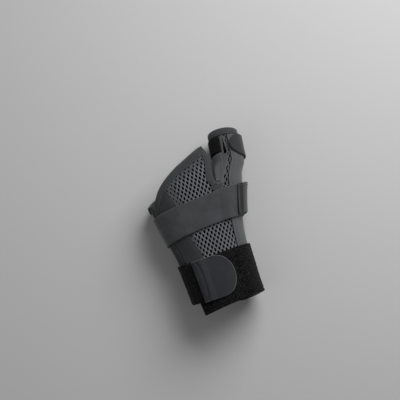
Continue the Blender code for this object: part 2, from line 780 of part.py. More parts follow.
def make_wrist_band(collection):
    """The wide pile band from the back wing's lap round the thumb side to the palm."""
    rows = []
    lap = through(LAP_EDGE, "along", "turn", 0.0)
    turns = steps(BAND_SEWN_TURN, lap, BAND_COLUMN_COUNT)
    widths = steps(0.0, 1.0, BAND_ROW_COUNT)
    for w in widths:
        for turn in turns:
            low = cuff_edge(turn) - GAP
            y = low + (BAND_REACH - low) * w
            edge = through(LAP_EDGE, "along", "turn", y / WEB_REACH)
            place = BAND_SEWN_TURN + (edge - BAND_SEWN_TURN) * turns.index(turn) / (len(turns) - 1)
            rows.append(on_wrap(place, y, straight(BAND_LIFTS, "turn", "lift", place)))
    faces = grid_faces(len(widths), len(turns))
    return cloth_piece("wrist_band", rows, faces, BAND_WALL, True, BLACK_PILE, collection)


def make_thumb_strap(collection):
    """The narrow strap from the window round the thumb tube's far side."""
    turns = steps(THUMB_STRAP_START, THUMB_STRAP_END, THUMB_STRAP_COLUMN_COUNT)
    widths = steps(-1.0, 1.0, THUMB_STRAP_ROW_COUNT)
    half = THUMB_STRAP_WIDTH / 2
    points = [on_tube(a, THUMB_STRAP_MIDDLE + w * half, GAP) for w in widths for a in turns]
    faces = grid_faces(len(widths), len(turns))
    return cloth_piece("thumb_strap", points, faces, STRAP_WALL, True, BLACK_PILE, collection)


def make_thumb_tab(collection):
    """The thumb strap's hook tab, round at the end that faces the window."""
    lift = max(GAP + STRAP_WALL + GAP, ON_SLEEVE)
    half = THUMB_TAB_WIDTH / 2
    points = []
    widths = [math.sin(math.radians(a)) for a in steps(-90.0, 90.0, THUMB_TAB_ROW_COUNT)]
    columns = steps(0.0, 1.0, THUMB_TAB_COLUMN_COUNT)
    for w in widths:
        straight_end = THUMB_TAB_STRAIGHT_END
        end = straight_end + (THUMB_TAB_TIP - straight_end) * math.sqrt(max(1 - w * w, 0.0))
        for c in columns:
            turn = THUMB_TAB_START + (end - THUMB_TAB_START) * c
            points.append(on_tube(turn, THUMB_TAB_MIDDLE + w * half, lift))
    faces = grid_faces(len(widths), len(columns))
    return cloth_piece("thumb_tab", points, faces, TAB_WALL, True, CHARCOAL, collection)


def main():
    for obj in list(bpy.data.objects):
        bpy.data.objects.remove(obj)
    collection = bpy.data.collections.new("thumb_spica_splint")
    bpy.context.scene.collection.children.link(collection)
    make_wrap(collection)
    make_stay_sleeve(collection)
    make_lap_panel(collection)
    make_thumb_panel(collection)
    make_back_binding(collection)
    make_palm_binding(collection)
    make_thumb_binding(collection)
    make_wrist_band(collection)
    make_strap("wrist_strap", WRIST_STRAP_COURSE, WRIST_STRAP_WIDTH, BLACK_PILE, collection)
    make_wrist_tab(collection)
    make_strap("hand_strap", HAND_STRAP_COURSE, HAND_STRAP_WIDTH, CHARCOAL, collection)
    make_hand_tab(collection)
    make_thumb_strap(collection)
    make_thumb_tab(collection)


main()
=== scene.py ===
"""The looks of a thumb spica splint: spacer mesh, edge tapes, stay sleeve, straps and tabs.

Metres. +X is the thumb side, +Y runs to the fingers, +Z comes out of the back of the hand.
"""

import math
from collections import namedtuple

import bmesh
import bpy
import numpy as np
from mathutils import Matrix, Vector


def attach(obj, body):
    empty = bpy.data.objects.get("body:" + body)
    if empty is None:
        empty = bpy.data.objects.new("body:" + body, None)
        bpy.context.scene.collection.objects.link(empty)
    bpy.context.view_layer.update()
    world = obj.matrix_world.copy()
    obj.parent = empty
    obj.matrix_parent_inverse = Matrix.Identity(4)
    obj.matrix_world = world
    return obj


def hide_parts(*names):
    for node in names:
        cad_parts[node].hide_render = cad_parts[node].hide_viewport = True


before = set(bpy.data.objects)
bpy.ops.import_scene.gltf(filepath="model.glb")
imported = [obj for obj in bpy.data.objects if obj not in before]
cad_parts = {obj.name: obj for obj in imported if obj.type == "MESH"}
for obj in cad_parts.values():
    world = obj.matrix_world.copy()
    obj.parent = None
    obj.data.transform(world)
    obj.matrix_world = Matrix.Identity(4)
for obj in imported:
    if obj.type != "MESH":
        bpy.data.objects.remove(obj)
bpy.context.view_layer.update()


# The wrap's padding: 2 mm of black spacer fabric with a soft charcoal lining on its inner side.
# It is cut as one flat piece, split at the web of the thumb into a back wing, a palm wing and a
# thumb strip, and heat-set to the shape of the hand.

SPACER_COLOUR = (0.003, 0.003, 0.0035)
LINING_COLOUR = (0.040, 0.043, 0.046)
WRAP_WALL = 0.0030
MESH_DEPTH = 0.0009
GAP = 0.0003
STRAP_WALL = 0.0018
SLIVER_AREA = 1e-12
MERGE = 2e-6

WRIST_REACH = 0.0325
WRIST_DEPTH = 0.0470
WEB_REACH = 0.0735
WING_REACH = 0.0380
CUFF_THUMB_SIDE = 0.0300
CUFF_FINGER_SIDE = 0.0335
CUFF_PALM_FINGER_SIDE = 0.0165
CUFF_SLIT_TURN = 45.0
CUFF_BACK_SPAN = 90.0
CUFF_PALM_SHARE = 0.5
SLIT_REACH = 0.0270
PALM_HEIGHT = GAP + STRAP_WALL
ROUNDNESS = 0.90
FLAT_SHARE = 0.50
WIDEST_SHARE = 0.45

THUMB_RADIUS = 0.0130
THUMB_LENGTH = 0.0485
THUMB_ROOT = (0.0412, WEB_REACH, 0.0272)
THUMB_LEAN = math.radians(9.5)
THUMB_DIP = math.radians(12.0)
THUMB_BLEND = 0.0190
THUMB_WEB_OPENING = 26.0
WINDOW_START = 0.0240
WINDOW_END = 0.0415
WINDOW_WIDTH = 0.0046
WINDOW_TOP_WIDTH = 0.0010
WINDOW_TURN = 95.0
WINDOW_ROUND_SHARE = 0.14
WINDOW_POINT_SHARE = 0.04
WINDOW_NEAR_START = 0.475
WINDOW_NEAR_WIDTH = 0.225
WINDOW_FAR_END = 0.76
WINDOW_FAR_WIDTH = 0.06

# Turns round the hand are in degrees: 0 is the thumb side, 90 the back of the hand, 180 the
# little finger side and -90 the palm
LAP_UNDER_TURN = -242.0
SINK_START_TURN = -182.0
SINK_END_TURN = -202.0
SINK_DEPTH = 0.0047
PALM_SLIT_TURN = -47.0
PALM_SLIT_SPREAD = 18.0

# Cross-sections: along in shares of WEB_REACH, sides in shares of WRIST_REACH, depth in shares
# of WRIST_DEPTH
Section = namedtuple("Section", "along thumb_side finger_side depth")
SECTIONS = (
    Section(-0.54, 0.885, 0.970, 1.06),
    Section(-0.27, 0.890, 0.975, 1.04),
    Section(0.00, 0.935, 0.980, 1.02),
    Section(0.27, 0.990, 1.000, 1.00),
    Section(0.57, 1.130, 1.080, 1.00),
    Section(0.82, 1.330, 1.145, 1.01),
    Section(1.05, 1.520, 1.230, 1.00),
    Section(1.36, 1.400, 1.280, 0.94),
    Section(1.70, 1.200, 1.270, 0.88),
)

# The back wing's edges: beside the slit, along in shares of WING_REACH and aside in shares of
# SLIT_REACH; on the little finger side, along in shares of WEB_REACH
SlitEdge = namedtuple("SlitEdge", "along aside")
SLIT_EDGE = (
    SlitEdge(0.00, 1.00),
    SlitEdge(0.18, 0.92),
    SlitEdge(0.45, 0.97),
    SlitEdge(0.70, 1.06),
    SlitEdge(1.00, 0.95),
)
LapEdge = namedtuple("LapEdge", "along turn")
LAP_EDGE = (
    LapEdge(-0.54, 138.0),
    LapEdge(0.27, 145.0),
    LapEdge(0.58, 150.0),
    LapEdge(1.05, 153.0),
)

# The wings' edges towards the fingers: across is the share of the wing's width from the slit,
# along is in shares of WING_REACH beyond the web
FingerEdge = namedtuple("FingerEdge", "across along")
BACK_FINGER_EDGE = (
    FingerEdge(0.00, 1.02),
    FingerEdge(0.15, 0.94),
    FingerEdge(0.32, 0.82),
    FingerEdge(0.45, 0.70),
    FingerEdge(0.58, 0.55),
    FingerEdge(0.70, 0.40),
    FingerEdge(0.82, 0.23),
    FingerEdge(0.92, 0.08),
    FingerEdge(1.00, -0.07),
)
PALM_FINGER_EDGE = (
    FingerEdge(0.00, 0.70),
    FingerEdge(0.20, 0.66),
    FingerEdge(0.40, 0.50),
    FingerEdge(0.55, 0.30),
    FingerEdge(0.70, 0.10),
    FingerEdge(0.84, -0.03),
    FingerEdge(1.00, -0.10),
)

# Marks across the thumb strip, from the palm slit at -1 to the back slit at 1
StripMark = namedtuple("StripMark", "across wrap_turn tube_turn")
STAY_EDGE = 0.4
WINDOW_MARK = 0.7
BACK_SLIT_TURN = 63.0
STRIP_MARKS = (
    StripMark(-1.0, PALM_SLIT_TURN, -180.0),
    StripMark(-STAY_EDGE, -12.0, -15.0),
    StripMark(0.0, 17.0, 36.0),
    StripMark(STAY_EDGE, 43.5, 74.0),
    StripMark(WINDOW_MARK, 55.0, WINDOW_TURN),
    StripMark(1.0, BACK_SLIT_TURN, 180.0),
)


def through(rows, key, value, where):
    """The value column at where, on a smooth curve through the rows, flat beyond its ends."""
    keys = np.array([getattr(row, key) for row in rows])
    values = np.array([getattr(row, value) for row in rows])
    numbers = np.arange(len(rows))
    before, after = np.maximum(numbers - 1, 0), np.minimum(numbers + 1, len(rows) - 1)
    slopes = (values[after] - values[before]) / (keys[after] - keys[before])
    where = np.clip(where, keys[0], keys[-1])
    i = np.clip(np.searchsorted(keys, where, side="right") - 1, 0, len(rows) - 2)
    span = keys[i + 1] - keys[i]
    s = (where - keys[i]) / span
    return (
        values[i] * (1 + 2 * s) * (1 - s) ** 2
        + values[i + 1] * s * s * (3 - 2 * s)
        + span * slopes[i] * s * (1 - s) ** 2
        - span * slopes[i + 1] * s * s * (1 - s)
    )


def straight(rows, key, value, where):
    """The value column at where, on straight lines between the rows."""
    return np.interp(where, [getattr(r, key) for r in rows], [getattr(r, value) for r in rows])


def ease(share):
    """0 to 1 with no slope at either end."""
    share = np.clip(share, 0.0, 1.0)
    return share * share * (3 - 2 * share)


def section_point(turn, half, depth):
    """x and z on a section's outline: an arched back, round sides and a flat palm side."""
    side, flat = WIDEST_SHARE * depth, FLAT_SHARE * half
    turn = np.mod(turn, 360.0)
    c, s = np.cos(np.radians(turn)), np.sin(np.radians(turn))
    finger, thumb = np.radians(2 * (turn - 180.0)), np.radians(2 * (turn - 315.0))
    parts = [turn <= 180.0, turn < 225.0, turn <= 315.0]
    x = np.select(
        parts,
        [
            half * np.copysign(np.abs(c) ** ROUNDNESS, c),
            -flat - (half - flat) * np.cos(finger),
            flat * (turn - 270.0) / 45.0,
        ],
        flat + (half - flat) * np.sin(thumb),
    )
    z = np.select(
        parts,
        [
            side + (depth - side) * np.abs(s) ** ROUNDNESS,
            side * (1 - np.sin(finger)),
            np.zeros_like(turn),
        ],
        side * (1 - np.cos(thumb)),
    )
    return x, z


def section_sides(along):
    """The middle and the half width of the section at this place along the wrap."""
    thumb_side = WRIST_REACH * through(SECTIONS, "along", "thumb_side", along)
    finger_side = WRIST_REACH * through(SECTIONS, "along", "finger_side", along)
    return (thumb_side - finger_side) / 2, (thumb_side + finger_side) / 2


def on_wrap(turn, y, lift=0.0):
    """Points over the wrap's outer face, lifted square to the section's outline."""
    turn, y, lift = np.broadcast_arrays(*(np.asarray(a, float) for a in (turn, y, lift)))
    middle, half = section_sides(y / WEB_REACH)
    depth = WRIST_DEPTH * through(SECTIONS, "along", "depth", y / WEB_REACH)
    x, z = section_point(turn, half, depth)
    before, after = (section_point(turn + way, half, depth) for way in (-0.5, 0.5))
    dx, dz = after[0] - before[0], after[1] - before[1]
    length = np.hypot(dx, dz)
    return np.stack([middle + x + dz / length * lift, y, PALM_HEIGHT + z - dx / length * lift], -1)


def turn_at(x, y):
    """The turn of the point of the wrap's back that lies over x, y."""
    middle, half = section_sides(np.asarray(y) / WEB_REACH)
    share = np.clip((x - middle) / half, -1.0, 1.0)
    return np.degrees(np.arccos(np.copysign(np.abs(share) ** (1 / ROUNDNESS), share)))


def slit_turn(y):
    """The turn of the back wing's slit edge, and below the web of the line it goes on along."""
    share = np.maximum((np.asarray(y, float) - WEB_REACH) / WING_REACH, 0.0)
    aside = SLIT_REACH * through(SLIT_EDGE, "along", "aside", share)
    return turn_at(aside, np.maximum(y, WEB_REACH))


def lap_turn(y):
    """The turn of the back wing's edge on the little finger side."""
    return through(LAP_EDGE, "along", "turn", np.asarray(y) / WEB_REACH)


def cuff_edge(turn):
    """y of the wrap's edge towards the elbow."""
    mean = (CUFF_THUMB_SIDE + CUFF_FINGER_SIDE) / 2
    swing = (CUFF_FINGER_SIDE - CUFF_THUMB_SIDE) / 2
    return -(mean - swing * np.cos(np.radians(turn)))


def back_ends(across):
    """y of the back wing's cuff edge and of its finger edge."""
    high = WEB_REACH + WING_REACH * through(BACK_FINGER_EDGE, "across", "along", across)
    return cuff_edge(CUFF_SLIT_TURN + CUFF_BACK_SPAN * across), high


def palm_ends(across):
    """y of the palm wing's cuff edge and of its finger edge."""
    first = cuff_edge(-CUFF_SLIT_TURN)
    low = first - (first + CUFF_PALM_FINGER_SIDE) * ease(across / CUFF_PALM_SHARE)
    return low, WEB_REACH + WING_REACH * through(PALM_FINGER_EDGE, "across", "along", across)


def upward_at(ends, across, y):
    """The upward share at y in a wing's column, for the wing's ends."""
    low, high = ends(across)
    return (y - low) / (high - low)


def back_wing(across, upward, lift):
    """Points over the back wing: across 0 at the slit to 1 at the lap, upward 0 at the cuff."""
    low, high = back_ends(across)
    y = low + (high - low) * upward
    slit = slit_turn(y)
    return on_wrap(slit + (lap_turn(y) - slit) * across, y, lift)


def on_palm(turn, y, lift):
    """Points over the palm wing, whose far end sinks to lie under the back wing."""
    across = (turn - PALM_SLIT_TURN) / (LAP_UNDER_TURN - PALM_SLIT_TURN)
    sunk = ease((SINK_START_TURN - turn) / (SINK_START_TURN - SINK_END_TURN))
    beyond_web = np.maximum((y - WEB_REACH) / WING_REACH, 0.0)
    spread = PALM_SLIT_SPREAD * np.sqrt(beyond_web) * np.clip(1 - 2 * across, 0.0, 1.0)
    return on_wrap(turn - spread, y, lift - sunk * SINK_DEPTH)


def palm_wing(across, upward, lift):
    """Points over the palm wing: across 0 at the slit to 1 under the lap, upward 0 at the cuff."""
    low, high = palm_ends(across)
    turn = PALM_SLIT_TURN + (LAP_UNDER_TURN - PALM_SLIT_TURN) * across
    return on_palm(turn, low + (high - low) * upward, lift)


def on_tube(turn, t, lift):
    """Points over the thumb tube's outer face, t along it from the web."""
    cl, sl = math.cos(THUMB_LEAN), math.sin(THUMB_LEAN)
    cd, sd = math.cos(THUMB_DIP), math.sin(THUMB_DIP)
    axis, aside = np.array((sl * cd, cl * cd, -sd)), np.array((cl, -sl, 0.0))
    up = np.cross(aside, axis)
    turn, t, lift = np.broadcast_arrays(*(np.asarray(a, float) for a in (turn, t, lift)))
    a = np.radians(turn)[..., None]
    spoke = aside * np.cos(a) + up * np.sin(a)
    return np.array(THUMB_ROOT) + axis * t[..., None] + spoke * (THUMB_RADIUS + lift)[..., None]


def window_half_turn(t):
    """Half of the thumb window's width at t, as a turn: round below and pointed above."""
    share = np.clip((t - WINDOW_START) / (WINDOW_END - WINDOW_START), 0.0, 1.0)
    width = WINDOW_WIDTH + (WINDOW_TOP_WIDTH - WINDOW_WIDTH) * share
    half_turn = np.degrees(width / 2 / THUMB_RADIUS)
    for from_end in (share / WINDOW_ROUND_SHARE, (1 - share) / WINDOW_POINT_SHARE):
        half_turn = half_turn * np.sqrt(np.clip(1 - (1 - np.minimum(from_end, 1.0)) ** 2, 0.0, 1.0))
    return half_turn


def thumb_strip(across, t, lift, window_side=0.0):
    """Points over the thumb strip, t beyond the web. Below the web t is negative.

    window_side is -1 for what lies on the window's thumb side and 1 for what lies beyond it.
    """
    wrap_turn = straight(STRIP_MARKS, "across", "wrap_turn", across)
    tube_turn = straight(STRIP_MARKS, "across", "tube_turn", across)
    beyond = np.maximum(t, 0.0)
    opening = THUMB_WEB_OPENING * np.clip(1 - (beyond / WINDOW_START) ** 2, 0.0, 1.0)
    palm_share = np.clip((-STAY_EDGE - across) / (1 - STAY_EDGE), 0.0, 1.0)
    slit_share = np.clip((across - WINDOW_MARK) / (1 - WINDOW_MARK), 0.0, 1.0)
    tube_turn = tube_turn + opening * (palm_share - slit_share)
    near = np.where(
        window_side < 0,
        (across - WINDOW_NEAR_START) / WINDOW_NEAR_WIDTH,
        (WINDOW_FAR_END - across) / WINDOW_FAR_WIDTH,
    )
    tube_turn = tube_turn + window_side * window_half_turn(beyond) * np.clip(near, 0.0, 1.0)
    on_palm_part = on_wrap(wrap_turn, WEB_REACH + t, lift)
    blend = ease(beyond / THUMB_BLEND)
    blend = np.broadcast_to(blend, on_palm_part.shape[:-1])[..., None]
    return on_palm_part + (on_tube(tube_turn, beyond, lift) - on_palm_part) * blend


KNIT_DRIFT_SCALE = 900.0
KNIT_SLANT = 0.35
# The knit's painted shade between its loops: the share of the colour left where it is darkest
KNIT_DARKEST = 0.4
SLOW_SCALE = 45.0
LINT_SCALE = 2600.0
LINT_START = 0.68
LINT_GAIN = 6.0
ROUGHNESS_LOW = 0.78
ROUGHNESS_SPAN = 0.16


def noise_nodes(group, place, scale, detail, rough=0.5):
    """A noise texture's value in a group, at this place and scale in features to the metre."""
    noise = group.nodes.new("ShaderNodeTexNoise")
    noise.inputs["Scale"].default_value = scale
    noise.inputs["Detail"].default_value = detail
    noise.inputs["Roughness"].default_value = rough
    group.links.new(place, noise.inputs["Vector"])
    return noise.outputs["Fac"]


def math_node(group, operation, first, second=0.0, third=0.0, clamp=False):
    """A math node whose inputs are sockets or numbers."""
    node = group.nodes.new("ShaderNodeMath")
    node.operation = operation
    node.use_clamp = clamp
    for socket, value in zip(node.inputs, (first, second, third)):
        if isinstance(value, bpy.types.NodeSocket):
            group.links.new(value, socket)
        else:
            socket.default_value = value
    return node.outputs[0]


def new_group(name, inputs, outputs):
    """An empty shader node group with named inputs (with their values) and outputs."""
    group = bpy.data.node_groups.new(name, "ShaderNodeTree")
    for socket_name, kind, value in inputs:
        socket = group.interface.new_socket(socket_name, in_out="INPUT", socket_type=kind)
        if value is not None:
            socket.default_value = value
    for socket_name, kind in outputs:
        group.interface.new_socket(socket_name, in_out="OUTPUT", socket_type=kind)
    given = group.nodes.new("NodeGroupInput").outputs
    put_out = group.nodes.new("NodeGroupOutput").inputs
    return group, given, put_out


def knit_group():
    """Fine knitted loops in rows: a height, and painted shade, darker between the loops."""
    group, given, put_out = new_group(
        "knit",
        [
            ("Place", "NodeSocketVector", None),
            ("Wale", "NodeSocketFloat", 0.0007),
            ("Course", "NodeSocketFloat", 0.0005),
            ("Unevenness", "NodeSocketFloat", 0.3),
        ],
        [("Height", "NodeSocketFloat"), ("Shade", "NodeSocketFloat")],
    )
    split = group.nodes.new("ShaderNodeSeparateXYZ")
    group.links.new(given["Place"], split.inputs[0])
    across = math_node(group, "DIVIDE", split.outputs["X"], given["Wale"])
    along = math_node(group, "DIVIDE", split.outputs["Y"], given["Course"])
    drift = noise_nodes(group, given["Place"], KNIT_DRIFT_SCALE, 2.0)
    drift = math_node(group, "MULTIPLY", drift, given["Unevenness"])
    across = math_node(group, "MULTIPLY", math_node(group, "ADD", across, drift), math.pi)
    wale = math_node(group, "ABSOLUTE", math_node(group, "SINE", across))
    slant = math_node(group, "MULTIPLY_ADD", wale, KNIT_SLANT, along)
    course = math_node(group, "SINE", math_node(group, "MULTIPLY", slant, 2 * math.pi))
    course = math_node(group, "MULTIPLY_ADD", course, 0.5, 0.5)
    height = math_node(group, "MULTIPLY", math_node(group, "MULTIPLY_ADD", course, 0.5, 0.5), wale)
    group.links.new(height, put_out["Height"])
    # Painted shade: the colour falls to KNIT_DARKEST of itself between the loops
    shade = math_node(group, "MULTIPLY_ADD", height, 1 - KNIT_DARKEST, KNIT_DARKEST)
    group.links.new(shade, put_out["Shade"])
    return group


def handling_group():
    """Handled cloth's slow colour changes and lint specks, over the painted shade it is given."""
    group, given, put_out = new_group(
        "handling",
        [
            ("Place", "NodeSocketVector", None),
            ("Colour", "NodeSocketColor", (0.05, 0.05, 0.05, 1.0)),
            ("Shade", "NodeSocketFloat", 1.0),
            ("Variation", "NodeSocketFloat", 0.25),
            ("Lint", "NodeSocketFloat", 0.02),
        ],
        [("Colour", "NodeSocketColor"), ("Roughness", "NodeSocketFloat")],
    )
    slow = noise_nodes(group, given["Place"], SLOW_SCALE, 4.0, 0.6)
    varied = math_node(group, "SUBTRACT", slow, 0.5)
    varied = math_node(group, "MULTIPLY", varied, given["Variation"])
    varied = math_node(group, "MULTIPLY_ADD", varied, 2.0, 1.0)
    # The given Shade is painted shade between loops, and it darkens the colour here
    shade = math_node(group, "MULTIPLY", varied, given["Shade"])
    scale = group.nodes.new("ShaderNodeVectorMath")
    scale.operation = "SCALE"
    group.links.new(given["Colour"], scale.inputs[0])
    group.links.new(shade, scale.inputs["Scale"])
    specks = noise_nodes(group, given["Place"], LINT_SCALE, 1.0)
    specks = math_node(group, "SUBTRACT", specks, LINT_START, clamp=True)
    specks = math_node(group, "MULTIPLY", specks, LINT_GAIN, clamp=True)
    specks = math_node(group, "MULTIPLY", specks, given["Lint"])
    lint = group.nodes.new("ShaderNodeVectorMath")
    lint.operation = "ADD"
    spread = group.nodes.new("ShaderNodeCombineXYZ")
    for socket in spread.inputs:
        group.links.new(specks, socket)
    group.links.new(scale.outputs[0], lint.inputs[0])
    group.links.new(spread.outputs[0], lint.inputs[1])
    group.links.new(lint.outputs[0], put_out["Colour"])
    rough = math_node(group, "MULTIPLY_ADD", slow, ROUGHNESS_SPAN, ROUGHNESS_LOW, clamp=True)
    group.links.new(rough, put_out["Roughness"])
    return group


KNIT = knit_group()
HANDLING = handling_group()


def cloth_tree(name, sheen, sheen_roughness, specular):
    """A new cloth material, its node tree, and each point's place on the cloth laid flat."""
    material = bpy.data.materials.new(name)
    material.use_nodes = True
    tree = material.node_tree
    shader = tree.nodes["Principled BSDF"]
    shader.inputs["Sheen Weight"].default_value = sheen
    shader.inputs["Sheen Roughness"].default_value = sheen_roughness
    shader.inputs["Specular IOR Level"].default_value = specular
    place = tree.nodes.new("ShaderNodeAttribute")
    place.attribute_name = "laid_flat"
    return material, tree, place.outputs["Vector"]


def group_node(tree, group, place, **values):
    """A shader node group in a material's tree, read at this place, with these input values."""
    node = tree.nodes.new("ShaderNodeGroup")
    node.node_tree = group
    for socket_name, value in values.items():
        node.inputs[socket_name].default_value = value
    tree.links.new(place, node.inputs["Place"])
    return node


def dress(tree, handling, height, relief, strength):
    """Gives a cloth's shader its handled colour and roughness, and its height as bump."""
    shader = tree.nodes["Principled BSDF"]
    bump = tree.nodes.new("ShaderNodeBump")
    bump.inputs["Distance"].default_value = relief
    bump.inputs["Strength"].default_value = strength
    tree.links.new(height, bump.inputs["Height"])
    tree.links.new(handling.outputs["Colour"], shader.inputs["Base Color"])
    tree.links.new(handling.outputs["Roughness"], shader.inputs["Roughness"])
    tree.links.new(bump.outputs["Normal"], shader.inputs["Normal"])


def cloth_material(
    name, colour, wale, course, relief, variation=0.25, lint=0.02, sheen=0.25, unevenness=0.3,
    specular=0.15,
):
    """A knit: its loops as bump and as painted shade, slow colour changes, lint and a soft sheen.
    """
    material, tree, place = cloth_tree(name, sheen, 0.5, specular)
    knit = group_node(tree, KNIT, place, Wale=wale, Course=course, Unevenness=unevenness)
    handling = group_node(
        tree, HANDLING, place, Colour=(*colour, 1.0), Variation=variation, Lint=lint
    )
    tree.links.new(knit.outputs["Shade"], handling.inputs["Shade"])
    dress(tree, handling, knit.outputs["Height"], relief, 0.8)
    return material


def grid(rows, columns):
    """Two arrays, with a row for each of rows and a column for each of columns."""
    return np.meshgrid(np.asarray(rows, float), np.asarray(columns, float), indexing="ij")


def sheet_faces(rows, columns, first=0):
    """Faces of a grid of rows x columns points, facing out."""
    corners = [first + i * columns + j for i in range(rows - 1) for j in range(columns - 1)]
    return [(a, a + columns, a + columns + 1, a + 1) for a in corners]


def thick_faces(outer, count):
    """The faces of a closed body: these outer faces, the same ones on its inner side, and the
    walls between them. Point k of the outer side has point k + count behind it."""
    inner = [tuple(k + count for k in reversed(face)) for face in outer]
    edges = {(face[k - 1], face[k]) for face in outer for k in range(len(face))}
    walls = [(b, a, a + count, b + count) for a, b in edges if (b, a) not in edges]
    return inner, sorted(walls)


def laid_flat(points):
    """Each point's place on the cloth laid flat, from the lengths along its rows and columns."""
    across = np.linalg.norm(np.diff(points, axis=1), axis=2)
    along = np.linalg.norm(np.diff(points, axis=0), axis=2)
    x = np.concatenate([np.zeros((points.shape[0], 1)), np.cumsum(across, 1)], 1)
    y = np.concatenate([np.zeros((1, points.shape[1])), np.cumsum(along, 0)], 0)
    x = x - x[:, [points.shape[1] // 2]]
    return np.stack([x, y, np.zeros_like(x)], -1)


def new_piece(name, points, faces, flat, materials, face_materials=None, merge=MERGE):
    """A mesh object on the frame. flat is each point's place on the cloth laid flat."""
    mesh = bpy.data.meshes.new(name)
    mesh.from_pydata(np.asarray(points).reshape(-1, 3).tolist(), [], faces)
    places = mesh.attributes.new("laid_flat", "FLOAT_VECTOR", "POINT")
    places.data.foreach_set("vector", np.asarray(flat, float).ravel())
    if face_materials is not None:
        mesh.polygons.foreach_set("material_index", face_materials)
    if merge:
        body = bmesh.new()
        body.from_mesh(mesh)
        bmesh.ops.remove_doubles(body, verts=body.verts, dist=merge)
        bmesh.ops.dissolve_degenerate(body, edges=body.edges, dist=merge / 2)
        crowded = [edge.link_faces for edge in body.edges if len(edge.link_faces) > 2]
        slivers = {min(around, key=lambda face: face.calc_area()) for around in crowded}
        slivers |= {face for face in body.faces if face.calc_area() < SLIVER_AREA}
        bmesh.ops.delete(body, geom=list(slivers), context="FACES_ONLY")
        bmesh.ops.delete(body, geom=[v for v in body.verts if not v.link_faces], context="VERTS")
        body.to_mesh(mesh)
        body.free()
    mesh.shade_smooth()
    made = bpy.data.objects.new(name, mesh)
    for material in materials:
        mesh.materials.append(material)
    bpy.context.scene.collection.objects.link(made)
    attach(made, "root")
    return made


ROWS_BELOW_WEB = 40
ROWS_ABOVE_WEB = 24
ROWS_TO_WINDOW = 15
ROWS_BY_WINDOW = 21
ROWS_BEYOND_WINDOW = 5
BACK_COLUMNS = 31
PALM_COLUMNS = 61
STRIP_COLUMNS = 31
FAR_COLUMNS = 7


def wing_rows(ends):
    """The upward shares of a wing's rows, with one row level with the web at its slit."""
    web = upward_at(ends, 0.0, WEB_REACH)
    above = np.linspace(web, 1.0, ROWS_ABOVE_WEB + 1)[1:]
    return np.concatenate([np.linspace(0.0, web, ROWS_BELOW_WEB + 1), above])


def strip_steps():
    """The thumb strip's rows, along it from the web."""
    below = np.linspace(cuff_edge(CUFF_SLIT_TURN) - WEB_REACH, 0.0, ROWS_BELOW_WEB + 1)
    between = np.linspace(0.0, WINDOW_START, ROWS_TO_WINDOW)[1:-1]
    window = np.linspace(WINDOW_START, WINDOW_END, ROWS_BY_WINDOW)
    above = np.linspace(WINDOW_END, THUMB_LENGTH, ROWS_BEYOND_WINDOW)[1:]
    return np.concatenate([below, between, window, above])


def padding_sheets():
    """Each sheet of the padding: a function of rows, columns and lift, its rows, its columns."""
    near = np.linspace(-1.0, WINDOW_MARK, STRIP_COLUMNS)
    far = np.linspace(WINDOW_MARK, 1.0, FAR_COLUMNS)
    back, palm = np.linspace(0.0, 1.0, BACK_COLUMNS), np.linspace(1.0, 0.0, PALM_COLUMNS)
    return (
        (lambda u, a, lift: back_wing(a, u, lift), wing_rows(back_ends), back),
        (lambda u, a, lift: palm_wing(a, u, lift), wing_rows(palm_ends), palm),
        (lambda t, a, lift: thumb_strip(a, t, lift, -1.0), strip_steps(), near),
        (lambda t, a, lift: thumb_strip(a, t, lift, 1.0), strip_steps(), far),
    )


def make_padding():
    """The wrap's padding from its four sheets, joined where their edges meet."""
    outer_points, inner_points, flats, outer_faces = [], [], [], []
    count = 0
    for place, rows, columns in padding_sheets():
        r, c = grid(rows, columns)
        outer = place(r, c, -MESH_DEPTH)
        outer_points.append(outer.reshape(-1, 3))
        inner_points.append(place(r, c, -WRAP_WALL).reshape(-1, 3))
        flats.append(laid_flat(outer).reshape(-1, 3))
        outer_faces += sheet_faces(len(rows), len(columns), count)
        count += r.size
    outer_points = np.concatenate(outer_points)
    keys = [tuple(k) for k in np.round(outer_points / MERGE).astype(int)]
    same = {}
    merged = [same.setdefault(key, k) for k, key in enumerate(keys)]
    outer_faces = [tuple(merged[k] for k in face) for face in outer_faces]
    inner, walls = thick_faces(outer_faces, count)
    faces = outer_faces + inner + walls
    kinds = [0] * len(outer_faces) + [1] * (len(inner) + len(walls))
    spacer = cloth_material(
        "spacer_core", SPACER_COLOUR, 0.0009, 0.0006, 0.0001, lint=0.0, sheen=0.0, specular=0.05
    )
    lining = cloth_material("lining_knit", LINING_COLOUR, 0.0008, 0.0006, 0.00012)
    points = np.concatenate([outer_points, *inner_points])
    flat = np.concatenate(flats * 2)
    return new_piece("wrap_padding", points, faces, flat, [spacer, lining], kinds)


padding = make_padding()
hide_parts("wrap")


# The wrap's face: charcoal spacer mesh, knitted with staggered rows of oval holes that show the
# black core behind them. It is laminated to the padding and cut with it, and where a smooth
# panel or an edge tape is sewn on, its holes are hidden.

MESH_COLOUR = (0.200, 0.216, 0.228)
FADED_COLOUR = (0.120, 0.130, 0.138)
CLOSE_COLOUR = (0.080, 0.086, 0.090)
THUMB_MESH_COLOUR = (0.120, 0.128, 0.134)
PLAIN_COLOUR = (0.105, 0.112, 0.116)
HOLE_PITCH = 0.00408
HOLE_ROW = 0.00315
HOLE_WIDTH = 0.00205
HOLE_LENGTH = 0.00360
HOLE_SIDES = 12
MESH_PALM_END_TURN = -207.0
STRIP_OVERLAP = 0.0045
PLAIN_MARK = 0.37
CLOSE_KNIT_TURN = -166.0
CLOSE_KNIT_ACROSS = 0.54
CLOSE_KNIT_INSET = 0.0070
CLOSE_KNIT_FADE = 0.0090
SMALL_HOLE = 0.62
FULL_TONE = 0.93
BACK_WING_WIDTH = 2.4 * WRIST_REACH
MESH_FIELD = (-0.185, 0.075, -0.036, 0.124)
STRIP_MARGIN_TURN = 3.0
BACK_MARGIN_TURN = 12.0
MESH_MERGE = 2e-5

